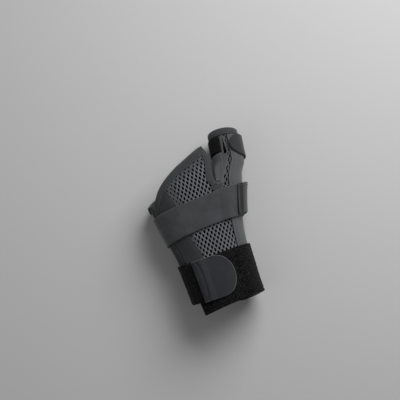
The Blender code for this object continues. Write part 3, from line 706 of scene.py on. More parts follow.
# How far cloth was moved: metres for each degree of turn and for each mark across, and the
# least that counts
TURN_MOVE = 1e-4
MARK_MOVE = 1e-3
LEAST_MOVE = 1e-9

# A hole's wall from the middle of the strands down to the core: share goes from the cell's
# border at 0 to the hole's border at 1, and lift is over the wrap's outer face
HoleRing = namedtuple("HoleRing", "share lift")
HOLE_RINGS = (
    HoleRing(0.00, -0.00004),
    HoleRing(0.45, 0.00006),
    HoleRing(0.80, -0.00006),
    HoleRing(1.00, -0.00036),
    HoleRing(1.06, -MESH_DEPTH - 0.00002),
)

ARC_TURNS = np.arange(-230.0, 171.0, 2.0)
ARC_ROWS = np.arange(-0.042, 0.120, 0.002)
ARC_STEPS = np.arange(-0.190, 0.080, 0.001)


def arc_tables():
    """The arc length round the wrap from the back's middle for each row and turn, and the turn
    for each row and arc length."""
    outline = on_wrap(ARC_TURNS[None, :], ARC_ROWS[:, None])[..., [0, 2]]
    lengths = np.cumsum(np.linalg.norm(np.diff(outline, axis=1), axis=2), 1)
    arcs = np.concatenate([np.zeros((len(ARC_ROWS), 1)), lengths], 1)
    arcs = np.array([row - np.interp(90.0, ARC_TURNS, row) for row in arcs])
    turns = np.array([np.interp(ARC_STEPS, row, ARC_TURNS) for row in arcs])
    return arcs, turns


ARCS, TURNS = arc_tables()


def look_up(table, columns, y, where):
    """The table's value at row y and column where, between its entries."""
    r = np.clip((y - ARC_ROWS[0]) / (ARC_ROWS[1] - ARC_ROWS[0]), 0, len(ARC_ROWS) - 1.001)
    c = np.clip((where - columns[0]) / (columns[1] - columns[0]), 0, len(columns) - 1.001)
    i, j = r.astype(int), c.astype(int)
    r, c = r - i, c - j
    low = table[i, j] * (1 - c) + table[i, j + 1] * c
    high = table[i + 1, j] * (1 - c) + table[i + 1, j + 1] * c
    return low * (1 - r) + high * r


def cell_corners():
    """The corners and side middles of one hole's cell, round it, from its middle."""
    side = HOLE_PITCH / 2
    reach = (side * side / 2 + HOLE_ROW * HOLE_ROW / 2) / HOLE_ROW
    low = reach - side * side / HOLE_ROW
    corners = [(0, reach), (-side, low), (-side, -low), (0, -reach), (side, -low), (side, low)]
    corners = np.array(corners)
    middles = (corners + np.roll(corners, -1, axis=0)) / 2
    return np.stack([corners, middles], 1).reshape(-1, 2)


def lattice(low_arc, high_arc, low_y, high_y):
    """The middles of the holes, in staggered rows."""
    middles = []
    for j in range(math.floor(low_y / HOLE_ROW), math.ceil(high_y / HOLE_ROW) + 1):
        shift = 0.5 * (j % 2)
        first, last = math.floor(low_arc / HOLE_PITCH), math.ceil(high_arc / HOLE_PITCH)
        middles += [((i + shift) * HOLE_PITCH, j * HOLE_ROW) for i in range(first, last + 1)]
    return np.array(middles)


def wing_cloth(arc, y, lift):
    """The mesh of the back wing, and of all that lies beside it below the web, at arc lengths
    and y, and how far each point was moved to stay on the cloth."""
    turn = look_up(TURNS, ARC_STEPS, y, arc)
    slit, lap = slit_turn(y), lap_turn(y)
    inside = np.clip(turn, np.where(y > WEB_REACH, slit, PALM_SLIT_TURN), lap)
    across = np.clip((inside - slit) / (lap - slit), 0.0, 1.0)
    low, high = back_ends(across)
    kept = np.clip(y, low, high)
    return on_wrap(inside, kept, lift), np.abs(inside - turn) * TURN_MOVE + np.abs(kept - y)


def palm_cloth(arc, y, lift):
    """The palm wing's mesh in the same way."""
    turn = look_up(TURNS, ARC_STEPS, y, arc)
    inside = np.clip(turn, MESH_PALM_END_TURN, PALM_SLIT_TURN)
    low, high = palm_ends((inside - PALM_SLIT_TURN) / (LAP_UNDER_TURN - PALM_SLIT_TURN))
    kept = np.clip(y, low, high)
    return on_palm(inside, kept, lift), np.abs(inside - turn) * TURN_MOVE + np.abs(kept - y)


def strip_across(arc, y):
    """The mark across the thumb strip. Beyond the web its columns go on straight from there."""
    turn = look_up(TURNS, ARC_STEPS, np.minimum(y, WEB_REACH), arc)
    return turn, straight(STRIP_MARKS, "wrap_turn", "across", turn)


def strip_cloth(arc, y, lift):
    """The thumb strip's mesh beyond the web in the same way, up to the window's thumb side."""
    turn, across = strip_across(arc, y)
    held = np.clip(across, -1.0, WINDOW_MARK)
    kept = np.clip(y, WEB_REACH - STRIP_OVERLAP, WEB_REACH + THUMB_LENGTH)
    beyond = np.maximum(turn - BACK_SLIT_TURN, PALM_SLIT_TURN - turn)
    moved = np.maximum(beyond, 0.0) * TURN_MOVE + np.abs(kept - y)
    moved += np.abs(held - across) * MARK_MOVE
    return thumb_strip(held, kept - WEB_REACH, lift, -1.0), moved


def ring_faces(count, rings, sides):
    """Faces that join ring after ring of points, with this many sides, in each of count parts."""
    corner = np.arange(sides)
    after = np.roll(corner, -1)
    starts = np.arange(count * rings).reshape(count, rings)[:, :-1].ravel() * sides
    quads = np.stack([corner, after, after + sides, corner + sides], 1)
    return (starts[:, None, None] + quads[None]).reshape(-1, 4).tolist()


def perforated(name, cloth, middles, plain_at, fullness, materials):
    """The mesh over these hole middles: strands round a sunk hole in each whole cell, and a
    plain cell where the cloth is cut, covered or knitted close. fullness is the holes' size."""
    corners = cell_corners()
    angles = np.arctan2(corners[:, 1] / HOLE_LENGTH, corners[:, 0] / HOLE_WIDTH)
    hole = np.stack([np.cos(angles) * HOLE_WIDTH, np.sin(angles) * HOLE_LENGTH], 1) / 2
    border = middles[:, None] + corners[None]
    cut = cloth(border[..., 0], border[..., 1], 0.0)[1] > LEAST_MOVE
    gone = cut.all(1) & (cloth(middles[:, 0], middles[:, 1], 0.0)[1] > LEAST_MOVE)
    plain = (cut.any(1) | plain_at(middles[:, 0], middles[:, 1])) & ~gone
    whole = ~gone & ~plain
    size = fullness(middles[whole, 0], middles[whole, 1])
    points, flats = [], []
    for ring in HOLE_RINGS:
        at = middles[whole][:, None] + corners * (1 - ring.share)
        at += hole * size[:, None, None] * ring.share
        points.append(cloth(at[..., 0], at[..., 1], ring.lift)[0])
        flats.append(at)
    points, flats = np.stack(points, 1), np.stack(flats, 1)
    faces = ring_faces(len(points), len(HOLE_RINGS), HOLE_SIDES)
    kinds = np.repeat(np.where(size > FULL_TONE, 0, 2), len(faces) // len(points)).tolist()
    count = points.size // 3
    filled = np.concatenate([border[plain], middles[plain][:, None]], 1)
    more = cloth(filled[..., 0], filled[..., 1], HOLE_RINGS[0].lift)[0]
    for cell in range(len(more)):
        a = count + cell * (HOLE_SIDES + 1)
        faces += [(a + k, a + (k + 1) % HOLE_SIDES, a + HOLE_SIDES) for k in range(HOLE_SIDES)]
    points = np.concatenate([points.reshape(-1, 3), more.reshape(-1, 3)])
    flat = np.concatenate([flats.reshape(-1, 2), filled.reshape(-1, 2)])
    flat = np.pad(flat, ((0, 0), (0, 1)))
    kinds += [1] * (len(faces) - len(kinds))
    return new_piece(name, points, faces, flat, materials, kinds, MESH_MERGE)


def under_lap(arc, y):
    """The palm wing's cells that are knitted close, by its end under the lap."""
    return look_up(TURNS, ARC_STEPS, y, arc) < CLOSE_KNIT_TURN


def all_full(arc, y):
    """Holes of one size."""
    return np.ones(len(arc))


def back_fullness(arc, y):
    """The back wing's holes, smaller towards the finger edge and the lap's smooth panel."""
    turn = look_up(TURNS, ARC_STEPS, y, arc)
    slit, lap = slit_turn(y), lap_turn(y)
    across = np.clip((turn - slit) / (lap - slit), 0.0, 1.0)
    to_panel = (CLOSE_KNIT_ACROSS - across) * BACK_WING_WIDTH
    to_fingers = back_ends(across)[1] - CLOSE_KNIT_INSET - y
    near = np.minimum(to_panel, to_fingers) / CLOSE_KNIT_FADE
    return SMALL_HOLE + (1 - SMALL_HOLE) * ease(near)


def under_sleeve(arc, y):
    """The cells that the stay's sleeve covers."""
    _, across = strip_across(arc, y)
    return np.abs(across) < PLAIN_MARK


def make_mesh_faces():
    """The perforated faces of the wings and of the thumb strip."""
    knit = cloth_material("spacer_mesh", MESH_COLOUR, 0.0006, 0.0005, 0.00010, lint=0.02)
    thumb_knit = cloth_material("thumb_mesh", THUMB_MESH_COLOUR, 0.0006, 0.0005, 0.00010)
    plain = cloth_material("close_knit", CLOSE_COLOUR, 0.0006, 0.0005, 0.00008)
    faded = cloth_material("faded_knit", FADED_COLOUR, 0.0006, 0.0005, 0.00010)
    middles = lattice(*MESH_FIELD)
    arc, y = middles[:, 0], middles[:, 1]
    turn = look_up(TURNS, ARC_STEPS, y, arc)
    web_turn, _ = strip_across(arc, y)
    above = y > WEB_REACH - STRIP_OVERLAP / 2
    in_strip = above & (web_turn > PALM_SLIT_TURN - STRIP_MARGIN_TURN)
    in_strip &= web_turn < BACK_SLIT_TURN + STRIP_MARGIN_TURN
    on_back = turn > np.where(above, BACK_SLIT_TURN - BACK_MARGIN_TURN, PALM_SLIT_TURN)
    on_palm_side = turn < PALM_SLIT_TURN + np.where(above, STRIP_MARGIN_TURN, 0.0)
    return [
        perforated(
            "back_mesh", wing_cloth, middles[on_back], under_sleeve, back_fullness,
            [knit, plain, faded],
        ),
        perforated(
            "palm_mesh", palm_cloth, middles[on_palm_side], under_lap, all_full, [knit, plain]
        ),
        perforated(
            "thumb_mesh", strip_cloth, middles[in_strip], under_sleeve, all_full,
            [thumb_knit, thumb_knit],
        ),
    ]


MeshCut = namedtuple("MeshCut", "flat area")
MESH_CUTS = (
    MeshCut((0.137, 0.153), 0.0148),
    MeshCut((0.108, 0.137), 0.0100),
    MeshCut((0.0694, 0.055), 0.00333),
)
for mesh_face, cut in zip(make_mesh_faces(), MESH_CUTS):
    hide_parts("wrap")


# The thumb strip's plain face: beyond the window the same charcoal cloth is knitted close,
# without holes. It is laminated to the padding like the mesh, and runs from below the web to
# the thumb's collar.

FAR_FACE_SIZE = (0.0530, 0.0190)
FAR_FACE_RIM = 0.0003
FAR_FACE_RISE = 0.00008
CLOTH_MERGE = 1e-6

# Smooth unevenness in cloth: the size of its features, its height and the seed of its pattern
Wave = namedtuple("Wave", "size height seed")
FAR_FACE_WAVES = (Wave(0.006, 0.00006, 4),)


def edge_steps(length, spacing, rim):
    """Places from 0 to length, this far apart and closer over the rim at both ends."""
    rounds = rim * (1 - np.cos(np.radians([0.0, 25.0, 45.0, 65.0])))
    middle = np.linspace(rim, length - rim, max(round((length - 2 * rim) / spacing), 1) + 1)
    return np.concatenate([rounds, middle, (length - rounds)[::-1]])


def rim_drop(distance, rim):
    """How far a rounded edge falls at this distance from the edge."""
    share = 1 - np.clip(distance / rim, 0.0, 1.0)
    return rim * (1 - np.sqrt(1 - share * share))


def cell_value(i, j, seed):
    """A number from 0 to 1 for each whole place, the same in every run."""
    n = (i * 374761393 + j * 668265263 + seed * 362437) & 0xFFFFFFFF
    n = ((n ^ (n >> 13)) * 1274126177) & 0xFFFFFFFF
    return ((n ^ (n >> 16)) & 0xFFFF) / 65535.0


def unevenness(x, y, size, seed):
    """Smooth unevenness from -1 to 1, with features of this size."""
    x, y = x / size + 1000.0, y / size + 1000.0
    i, j = np.floor(x).astype(np.int64), np.floor(y).astype(np.int64)
    u, v = ease(x - i), ease(y - j)
    low = cell_value(i, j, seed) * (1 - u) + cell_value(i + 1, j, seed) * u
    high = cell_value(i, j + 1, seed) * (1 - u) + cell_value(i + 1, j + 1, seed) * u
    return 2 * (low * (1 - v) + high * v) - 1


def edge_distance(r, c, size):
    """How far r up and c across a piece of this size is from its nearest edge."""
    return np.minimum(np.minimum(r, size[0] - r), np.minimum(c, size[1] - c))


def waves(r, c, rows):
    """The sum of these waves at r up and c across a piece."""
    return sum(unevenness(c, r, row.size, row.seed) * row.height for row in rows)


def cloth_body(name, place, size, spacing, low, high, relief, material, rim=None):
    """A closed sheet with rounded edges, size[0] up by size[1] across.

    place(u, v, lift) gives its points for shares of its size, low and high are the lifts of its
    two faces, and relief(r, c) is added to the outer one at r up and c across, in metres.
    """
    wall = high - low
    rim = wall / 2 if rim is None else rim
    rows, columns = (edge_steps(length, step, rim) for length, step in zip(size, spacing))
    r, c = grid(rows, columns)
    edge = edge_distance(r, c, size)
    drop = rim_drop(edge, rim)
    raised = relief(r, c) * np.clip(edge / rim, 0.0, 1.0)
    outer = place(r / size[0], c / size[1], high - np.minimum(drop, wall * 0.7) + raised)
    inner = place(r / size[0], c / size[1], low + np.minimum(drop, wall * 0.25))
    faces = sheet_faces(len(rows), len(columns))
    back, walls = thick_faces(faces, r.size)
    points = np.concatenate([outer.reshape(-1, 3), inner.reshape(-1, 3)])
    flat = np.concatenate([laid_flat(outer).reshape(-1, 3)] * 2)
    return new_piece(name, points, faces + back + walls, flat, [material], merge=CLOTH_MERGE)


def far_place(u, v, lift):
    """The thumb strip's plain part: u up it from below the web, v from the window to the slit."""
    t = -STRIP_OVERLAP / 2 + (THUMB_LENGTH + STRIP_OVERLAP / 2) * u
    return thumb_strip(WINDOW_MARK + (1 - WINDOW_MARK) * v, t, lift, 1.0)


far_face = cloth_body(
    "thumb_plain_face", far_place, FAR_FACE_SIZE, (0.0012, 0.0012), -MESH_DEPTH, FAR_FACE_RISE,
    lambda r, c: waves(r, c, FAR_FACE_WAVES),
    cloth_material("plain_knit", PLAIN_COLOUR, 0.0006, 0.0005, 0.00006),
    FAR_FACE_RIM,
)
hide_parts("wrap")


# The stay's sleeve: a smooth double-knit channel sewn over the mesh up the thumb side, from the
# cuff to the thumb's collar. The stay inside fills its middle, and a line of stitches holds
# each edge down.

SLEEVE_COLOUR = (0.128, 0.135, 0.139)
DARK_THREAD_COLOUR = (0.034, 0.036, 0.038)
SLEEVE_WALL = 0.0018
SLEEVE_SIZE = (0.1450, 0.0250)
SLEEVE_HEM = 0.0026
STAY_INSET = 0.0010
COLLAR_WIDTH = 0.0055
THREAD_RADIUS = 0.00022
STITCH_LENGTH = 0.0019
STITCH_PITCH = 0.0027

# A stitch from end to end: along in shares of its length, thickness in shares of the thread's
# radius, rise over the cloth in the same shares
StitchRing = namedtuple("StitchRing", "along thickness rise")
STITCH_RINGS = (
    StitchRing(-0.50, 0.45, -0.9),
    StitchRing(-0.36, 1.00, 0.1),
    StitchRing(0.00, 1.10, 0.5),
    StitchRing(0.36, 1.00, 0.1),
    StitchRing(0.50, 0.45, -0.9),
)
STITCH_SIDES = 6
OUTWARD_STEP = 0.001

# A line of stitches in cloth: its distance from the edge, and its groove's width and depth
Seam = namedtuple("Seam", "inset width depth")
SLEEVE_SEAM = Seam(SLEEVE_HEM, 0.0006, 0.00025)
SLEEVE_FULL_FROM = 2.2 * SLEEVE_HEM
SLEEVE_HEM_DROP = 0.0008
SLEEVE_STITCH_DROP = 0.00085
SLEEVE_STITCH_PLACES = 200
SLEEVE_WAVES = (Wave(0.0045, 0.00006, 3),)


def groove(edge, seam):
    """The dent that a seam pulls into cloth, at this distance from the cloth's edge."""
    return -seam.depth * np.exp(-(((edge - seam.inset) / seam.width) ** 2))


def frame_along(path, skyward):
    """The length along a path of points, its directions, and the outward ways square to them."""
    lengths = np.concatenate([[0.0], np.cumsum(np.linalg.norm(np.diff(path, axis=0), axis=1))])
    ahead = np.gradient(path, axis=0)
    ahead /= np.linalg.norm(ahead, axis=1)[:, None]
    outward = skyward - (skyward * ahead).sum(1)[:, None] * ahead
    outward /= np.linalg.norm(outward, axis=1)[:, None]
    return lengths, ahead, outward


def read_along(lengths, values, where):
    """Rows of values at these lengths along a path."""
    return np.stack([np.interp(where, lengths, column) for column in values.T], -1)


def stitches(name, place, material):
    """A row of sewn stitches. place(lift) gives the points of the line that they follow."""
    path = place(0.0)
    lengths, ahead, outward = frame_along(path, place(OUTWARD_STEP) - path)
    count = int(lengths[-1] // STITCH_PITCH)
    middles = (np.arange(count) + 0.5) * lengths[-1] / count
    angles = np.radians(np.arange(STITCH_SIDES) * 360.0 / STITCH_SIDES)
    rings = []
    for ring in STITCH_RINGS:
        where = middles + ring.along * STITCH_LENGTH
        at, up = read_along(lengths, path, where), read_along(lengths, outward, where)
        side = np.cross(read_along(lengths, ahead, where), up)
        round_it = np.cos(angles)[:, None, None] * side + np.sin(angles)[:, None, None] * up
        centre = at + up * ring.rise * THREAD_RADIUS
        rings.append(centre + round_it * ring.thickness * THREAD_RADIUS)
    points = np.stack(rings).transpose(2, 0, 1, 3).reshape(-1, 3)
    corners = np.arange(len(points)).reshape(count, len(rings), STITCH_SIDES)
    faces = ring_faces(count, len(rings), STITCH_SIDES)
    faces += corners[:, 0, ::-1].tolist() + corners[:, -1].tolist()
    return new_piece(name, points, faces, points, [material], merge=None)


def sleeve_place(u, v, lift):
    """The stay's sleeve, from the cuff up and across from its palm side."""
    start = cuff_edge(CUFF_SLIT_TURN) + STAY_INSET - WEB_REACH
    end = THUMB_LENGTH - COLLAR_WIDTH - 2 * GAP
    return thumb_strip(STAY_EDGE * (2 * v - 1), start + (end - start) * u, lift)


def sleeve_relief(r, c):
    """Flat sewn hems, a full middle and shallow puckers across it."""
    side = np.minimum(c, SLEEVE_SIZE[1] - c)
    full = ease(side / SLEEVE_FULL_FROM)
    return (full - 1) * SLEEVE_HEM_DROP + groove(side, SLEEVE_SEAM) + waves(r, c, SLEEVE_WAVES)


thread_dark = cloth_material("thread_dark", DARK_THREAD_COLOUR, 0.0004, 0.0003, 0.00003)
sleeve_knit = cloth_material("sleeve_knit", SLEEVE_COLOUR, 0.0005, 0.0004, 0.00005, lint=0.012)
sleeve = cloth_body(
    "sleeve", sleeve_place, SLEEVE_SIZE, (0.0015, 0.0006), GAP, GAP + SLEEVE_WALL,
    sleeve_relief, sleeve_knit, 0.0007,
)
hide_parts("stay_sleeve")
hem_lift = GAP + SLEEVE_WALL - SLEEVE_STITCH_DROP
hem_share = SLEEVE_HEM / SLEEVE_SIZE[1]
shares = np.linspace(0.01, 0.99, SLEEVE_STITCH_PLACES)
for side, share in (("palm", hem_share), ("back", 1 - hem_share)):
    stitches(
        "sleeve_stitches_" + side,
        lambda lift, at=share: sleeve_place(shares, at, hem_lift + lift),
        thread_dark,
    )


# The smooth panels: single knit sewn flat over the mesh, one on the lap at the little finger
# side, which the straps rub, and one on the thumb between the window and the slit.

PANEL_COLOUR = (0.054, 0.058, 0.060)
PANEL_WALL = 0.0009
PANEL_CLEARANCE = 0.0002
TAPE_WIDTH = 0.0060
SLOPE_STEP = 0.02
BAND_REACH = 0.0150
LAP_PANEL_SIZE = (0.0720, 0.0242)
LAP_PANEL_WAVES = (Wave(0.016, 0.00045, 5), Wave(0.006, 0.00014, 6))
PARED_DEPTH = 0.0006
PARED_WIDTH = 0.0050
THUMB_PANEL_SIZE = (0.0280, 0.0130)
THUMB_STRAP_WIDTH = 0.0155
THUMB_STRAP_MIDDLE = 0.0345
WEB_SEAM = 0.0030
SEAM_INSET = 0.0016
THUMB_PANEL_SEAM = Seam(SEAM_INSET, 0.0005, 0.00018)
THUMB_PANEL_WAVES = (Wave(0.005, 0.00005, 8),)
THUMB_COLUMNS = 5
THUMB_PANEL_MARGIN = 1.25
SHORT_SEAM = np.linspace(0.05, 0.95, 60)
STITCH_DROP = 0.0001
PanelEdge = namedtuple("PanelEdge", "upward across")
LAP_PANEL_EDGE = (
    PanelEdge(0.00, 0.49),
    PanelEdge(0.20, 0.54),
    PanelEdge(0.75, 0.57),
    PanelEdge(1.00, 0.60),
)


def tape_share(finger_edge, wing_width, across):
    """The finger edge's tape width as a share of a wing's column, wider on a slant."""
    a, b = np.maximum(across - SLOPE_STEP, 0.0), np.minimum(across + SLOPE_STEP, 1.0)
    rise = through(finger_edge, "across", "along", a) - through(finger_edge, "across", "along", b)
    slope = WING_REACH * rise / ((b - a) * wing_width)
    high = WEB_REACH + WING_REACH * through(finger_edge, "across", "along", across)
    return TAPE_WIDTH * np.hypot(1.0, slope) / (high + CUFF_THUMB_SIDE)


def lap_panel_place(u, v, lift):
    """The lap's smooth panel, from the wrist band up and across to the lap."""
    inner = straight(LAP_PANEL_EDGE, "upward", "across", u)
    outer = 1.0 - (TAPE_WIDTH + 2 * GAP) / BACK_WING_WIDTH
    across = inner + (outer - inner) * v
    low, high = back_ends(across)
    start = (BAND_REACH + 2 * GAP - low) / (high - low)
    end = 1.0 - tape_share(BACK_FINGER_EDGE, BACK_WING_WIDTH, across) - 2 * GAP / (high - low)
    return back_wing(across, start + (end - start) * u, lift)


def lap_panel_relief(r, c):
    """An edge pared thin and the slow dents of a panel that bends with the hand."""
    return waves(r, c, LAP_PANEL_WAVES) - PARED_DEPTH * (1 - ease(c / PARED_WIDTH))


def thumb_panel_place(u, v, lift):
    """The thumb's smooth panel, from the web up and across from the window to the slit."""
    end = THUMB_STRAP_MIDDLE - THUMB_STRAP_WIDTH / 2 - 2 * GAP
    column = (1 - WINDOW_MARK) / THUMB_COLUMNS
    across = WINDOW_MARK + column + (1 - column * THUMB_PANEL_MARGIN - WINDOW_MARK) * v
    return thumb_strip(across, WEB_SEAM + (end - WEB_SEAM) * u, lift, 1.0)


def thumb_panel_relief(r, c):
    """A stitched groove inside each edge."""
    edge = edge_distance(r, c, THUMB_PANEL_SIZE)
    return groove(edge, THUMB_PANEL_SEAM) + waves(r, c, THUMB_PANEL_WAVES)


panel_knit = cloth_material("panel_knit", PANEL_COLOUR, 0.0006, 0.0005, 0.00005, 0.35, 0.010)
lap_low = GAP + PANEL_CLEARANCE
lap_panel = cloth_body(
    "lap_cover", lap_panel_place, LAP_PANEL_SIZE, (0.0014, 0.0010), lap_low,
    lap_low + PANEL_WALL, lap_panel_relief, panel_knit,
)
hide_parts("lap_panel")
thumb_panel = cloth_body(
    "thumb_cover", thumb_panel_place, THUMB_PANEL_SIZE, (0.0008, 0.0006), GAP,
    GAP + PANEL_WALL, thumb_panel_relief, sleeve_knit,
)
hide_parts("thumb_panel")
stitches(
    "thumb_panel_stitches",
    lambda lift: thumb_panel_place(
        SHORT_SEAM, SEAM_INSET / THUMB_PANEL_SIZE[1], GAP + PANEL_WALL - STITCH_DROP + lift
    ),
    thread_dark,
)


# The edge tapes: a knit tape folded over the cut edge of each wing and over the end of the
# thumb tube, sewn through both sides with one line of stitches near its border. The cuff's
# edge has no tape.

TAPE_COLOUR = (0.065, 0.070, 0.073)
THREAD_COLOUR = (0.125, 0.132, 0.136)
BINDING_WALL = 0.0008
FOLD_GAP = 0.0008
TAPE_STITCH_SHARE = 0.20
PALM_WING_WIDTH = 3.8 * WRIST_REACH
BACK_TAPE_START = 0.007
PALM_TAPE_START = 0.03
PALM_TAPE_END = 0.69
COLLAR_TURNS = np.arange(0.0, 360.0, 3.0)

# The folded tape's section: share goes from the tape's border at 0 to the cloth's edge at 1,
# lift is the height over the cloth's outer face, and beyond is how far past the edge it is
TAPE_TOP = GAP + BINDING_WALL
TapePoint = namedtuple("TapePoint", "share lift beyond")
HALF_FOLD = WRAP_WALL / 2 + TAPE_TOP
TAPE_SKIN = (
    TapePoint(0.00, GAP + 0.00015, 0.0),
    TapePoint(0.01, TAPE_TOP - 0.00025, 0.0),
    TapePoint(0.05, TAPE_TOP - 0.00004, 0.0),
    TapePoint(0.13, TAPE_TOP, 0.0),
    TapePoint(0.17, TAPE_TOP - 0.00020, 0.0),
    TapePoint(0.23, TAPE_TOP - 0.00020, 0.0),
    TapePoint(0.28, TAPE_TOP + 0.00004, 0.0),
    TapePoint(0.55, TAPE_TOP + 0.00014, 0.0),
    TapePoint(0.90, TAPE_TOP + 0.00006, 0.0),
)
TAPE_UNDER = tuple(
    TapePoint(point.share, -WRAP_WALL - point.lift, 0.0) for point in reversed(TAPE_SKIN)
)
TAPE_INSIDE = (
    TapePoint(0.0, -WRAP_WALL - GAP, 0.0),
    TapePoint(1.0, -WRAP_WALL - GAP, 0.0),
    TapePoint(1.0, -WRAP_WALL / 2, FOLD_GAP),
    TapePoint(1.0, GAP, 0.0),
    TapePoint(0.0, GAP, 0.0),
)
FOLD_ANGLES = range(80, -81, -20)
TAPE_MERGE = 1e-7
TUBE_SIDES = 8


def tape_profile():
    """The folded tape's whole section, round from its top border."""
    fold = [
        TapePoint(
            1.0,
            -WRAP_WALL / 2 + HALF_FOLD * math.sin(math.radians(a)),
            (FOLD_GAP + BINDING_WALL) * math.cos(math.radians(a)),
        )
        for a in FOLD_ANGLES
    ]
    return TAPE_SKIN + tuple(fold) + TAPE_UNDER + TAPE_INSIDE


def tape_place(edge, inner, point):
    """The points of one line of the tape's section, all along its edge."""
    beyond = edge(0.0) - inner(0.0)
    beyond /= np.linalg.norm(beyond, axis=-1)[:, None]
    on_cloth = inner(point.lift) * (1 - point.share) + edge(point.lift) * point.share
    return on_cloth + beyond * point.beyond


def swept(name, lines, closed, material):
    """A body through these lines, which run side by side round its section."""
    points = np.stack(lines, 1)
    count, sides = points.shape[:2]
    faces = ring_faces(1, count, sides)
    first = np.arange(sides)
    last = first + (count - 1) * sides
    if closed:
        faces += np.stack([last, np.roll(last, -1), np.roll(first, -1), first], 1).tolist()
    else:
        faces += [first[::-1].tolist(), last.tolist()]
    flat = laid_flat(points).reshape(-1, 3)[:, [1, 0, 2]]
    made = new_piece(name, points.reshape(-1, 3), faces, flat, [material], merge=TAPE_MERGE)
    body = bmesh.new()
    body.from_mesh(made.data)
    bmesh.ops.recalc_face_normals(body, faces=body.faces)
    body.to_mesh(made.data)
    body.free()
    return made


def tube_along(name, place, radius, material):
    """A round edging on the line that place(lift) gives."""
    path = place(0.0)
    _, ahead, outward = frame_along(path, place(OUTWARD_STEP) - path)
    side = np.cross(ahead, outward)
    angles = np.radians(np.arange(TUBE_SIDES) * 360.0 / TUBE_SIDES)
    lines = [path + (side * math.cos(a) + outward * math.sin(a)) * radius for a in angles]
    return swept(name, lines, False, material)


def folded_tape(name, edge, inner, closed, node):
    """A folded tape of this length with its line of stitches, in the place of this node."""
    lines = [tape_place(edge, inner, point) for point in tape_profile()]
    made = swept(name, lines, closed, tape_knit)
    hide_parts(node)

    def seam(lift):
        """The line near the tape's border that its stitches follow."""
        on_tape = TapePoint(TAPE_STITCH_SHARE, TAPE_TOP - STITCH_DROP + lift, 0.0)
        line = tape_place(edge, inner, on_tape)
        return np.concatenate([line, line[:1]]) if closed else line

    stitches(name + "_stitches", seam, thread_grey)


def finer(values, times):
    """The values with this many steps between each two."""
    places = np.linspace(0, len(values) - 1, (len(values) - 1) * times + 1)
    return np.interp(places, np.arange(len(values)), values)


def wing_outline(ends, start, last_across, up_places, across_places):
    """A wing's outline: (across, upward) places up from the web, then along its finger edge."""
    first = upward_at(ends, 0.0, WEB_REACH) + start
    up = [(0.0, upward) for upward in np.linspace(first, 1.0, up_places)]
    return up + [(across, 1.0) for across in np.linspace(0.0, last_across, across_places)[1:]]


def wing_tape(name, wing, outline, finger_edge, wing_width, node):
    """The folded tape round a wing's outline of (across, upward) places."""
    across, upward = (finer(column, 2) for column in np.array(outline).T)
    width = TAPE_WIDTH / wing_width
    in_across = np.clip(across, width, 1.0 - width)
    in_upward = np.minimum(upward, 1.0 - tape_share(finger_edge, wing_width, across))
    folded_tape(
        name, lambda lift: wing(across, upward, lift),
        lambda lift: wing(in_across, in_upward, lift), False, node,
    )


tape_knit = cloth_material("tape_knit", TAPE_COLOUR, 0.0007, 0.0005, 0.00008, 0.3, 0.012)
thread_grey = cloth_material("thread_grey", THREAD_COLOUR, 0.0004, 0.0003, 0.00003)
lap_end = upward_at(back_ends, 1.0, BAND_REACH + 2 * GAP)
back_outline = wing_outline(back_ends, BACK_TAPE_START, 1.0, 20, 41)
back_outline += [(1.0, upward) for upward in np.linspace(1.0, lap_end, 30)[1:]]
wing_tape(
    "back_tape", back_wing, back_outline, BACK_FINGER_EDGE, BACK_WING_WIDTH, "back_binding",
)
palm_outline = wing_outline(palm_ends, PALM_TAPE_START, PALM_TAPE_END, 12, 50)
wing_tape(
    "palm_tape", palm_wing, palm_outline, PALM_FINGER_EDGE, PALM_WING_WIDTH, "palm_binding",
)
folded_tape(
    "thumb_collar",
    lambda lift: on_tube(COLLAR_TURNS, THUMB_LENGTH, lift),
    lambda lift: on_tube(COLLAR_TURNS, THUMB_LENGTH - COLLAR_WIDTH, lift),
    True, "thumb_binding",
)


# The thumb window's edge: a thin cord of grey satin stitch, sewn all round the cut of the
# padding and of its faces.

WINDOW_CORD = 0.00040
WINDOW_CORD_SUNK = 0.2
WINDOW_PLACES = 40
window_up = np.linspace(WINDOW_START, WINDOW_END, WINDOW_PLACES)
window_round = np.concatenate([window_up, window_up[::-1][1:]])
window_sides = np.where(np.arange(len(window_round)) < len(window_up), -1.0, 1.0)
window_edge = tube_along(
    "window_edge",
    lambda lift: thumb_strip(
        WINDOW_MARK, window_round, lift - WINDOW_CORD * WINDOW_CORD_SUNK, window_sides
    ),
    WINDOW_CORD, thread_grey,
)
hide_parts("wrap")


# The web's reinforcement: a half round of the same knit tape, laid over the bottom of the slit
# and sewn down with one line of stitches inside its outer edge.

WEB_TAPE_START = -188.0
WEB_TAPE_END = 8.0
WEB_TAPE_INNER = 0.0002
WEB_TAPE_SIZE = (0.0054, 0.0150)
WEB_TAPE_LOW = GAP + 0.00015
WEB_TAPE_TOP = TAPE_TOP + 0.00012
WEB_TAPE_SEAM = Seam(SEAM_INSET, 0.0005, 0.0002)
WEB_TAPE_STITCH_DROP = 0.00005


def web_place(u, v, lift):
    """The half round at the slit's bottom: u inwards, v round from the thumb to the back wing."""
    angle = np.radians(WEB_TAPE_START + (WEB_TAPE_END - WEB_TAPE_START) * v)
    radius = WEB_TAPE_INNER + WEB_TAPE_SIZE[0] * (1 - u)
    middle = look_up(ARCS, ARC_TURNS, np.array(WEB_REACH), np.array(BACK_SLIT_TURN))
    arc, y = middle + radius * np.cos(angle), WEB_REACH + radius * np.sin(angle)
    turn = look_up(TURNS, ARC_STEPS, y, arc)
    on_back = on_wrap(turn, y, lift)
    _, across = strip_across(arc, y)
    on_thumb = thumb_strip(across, y - WEB_REACH, lift, 1.0)
    return np.where((arc < middle)[..., None], on_thumb, on_back)


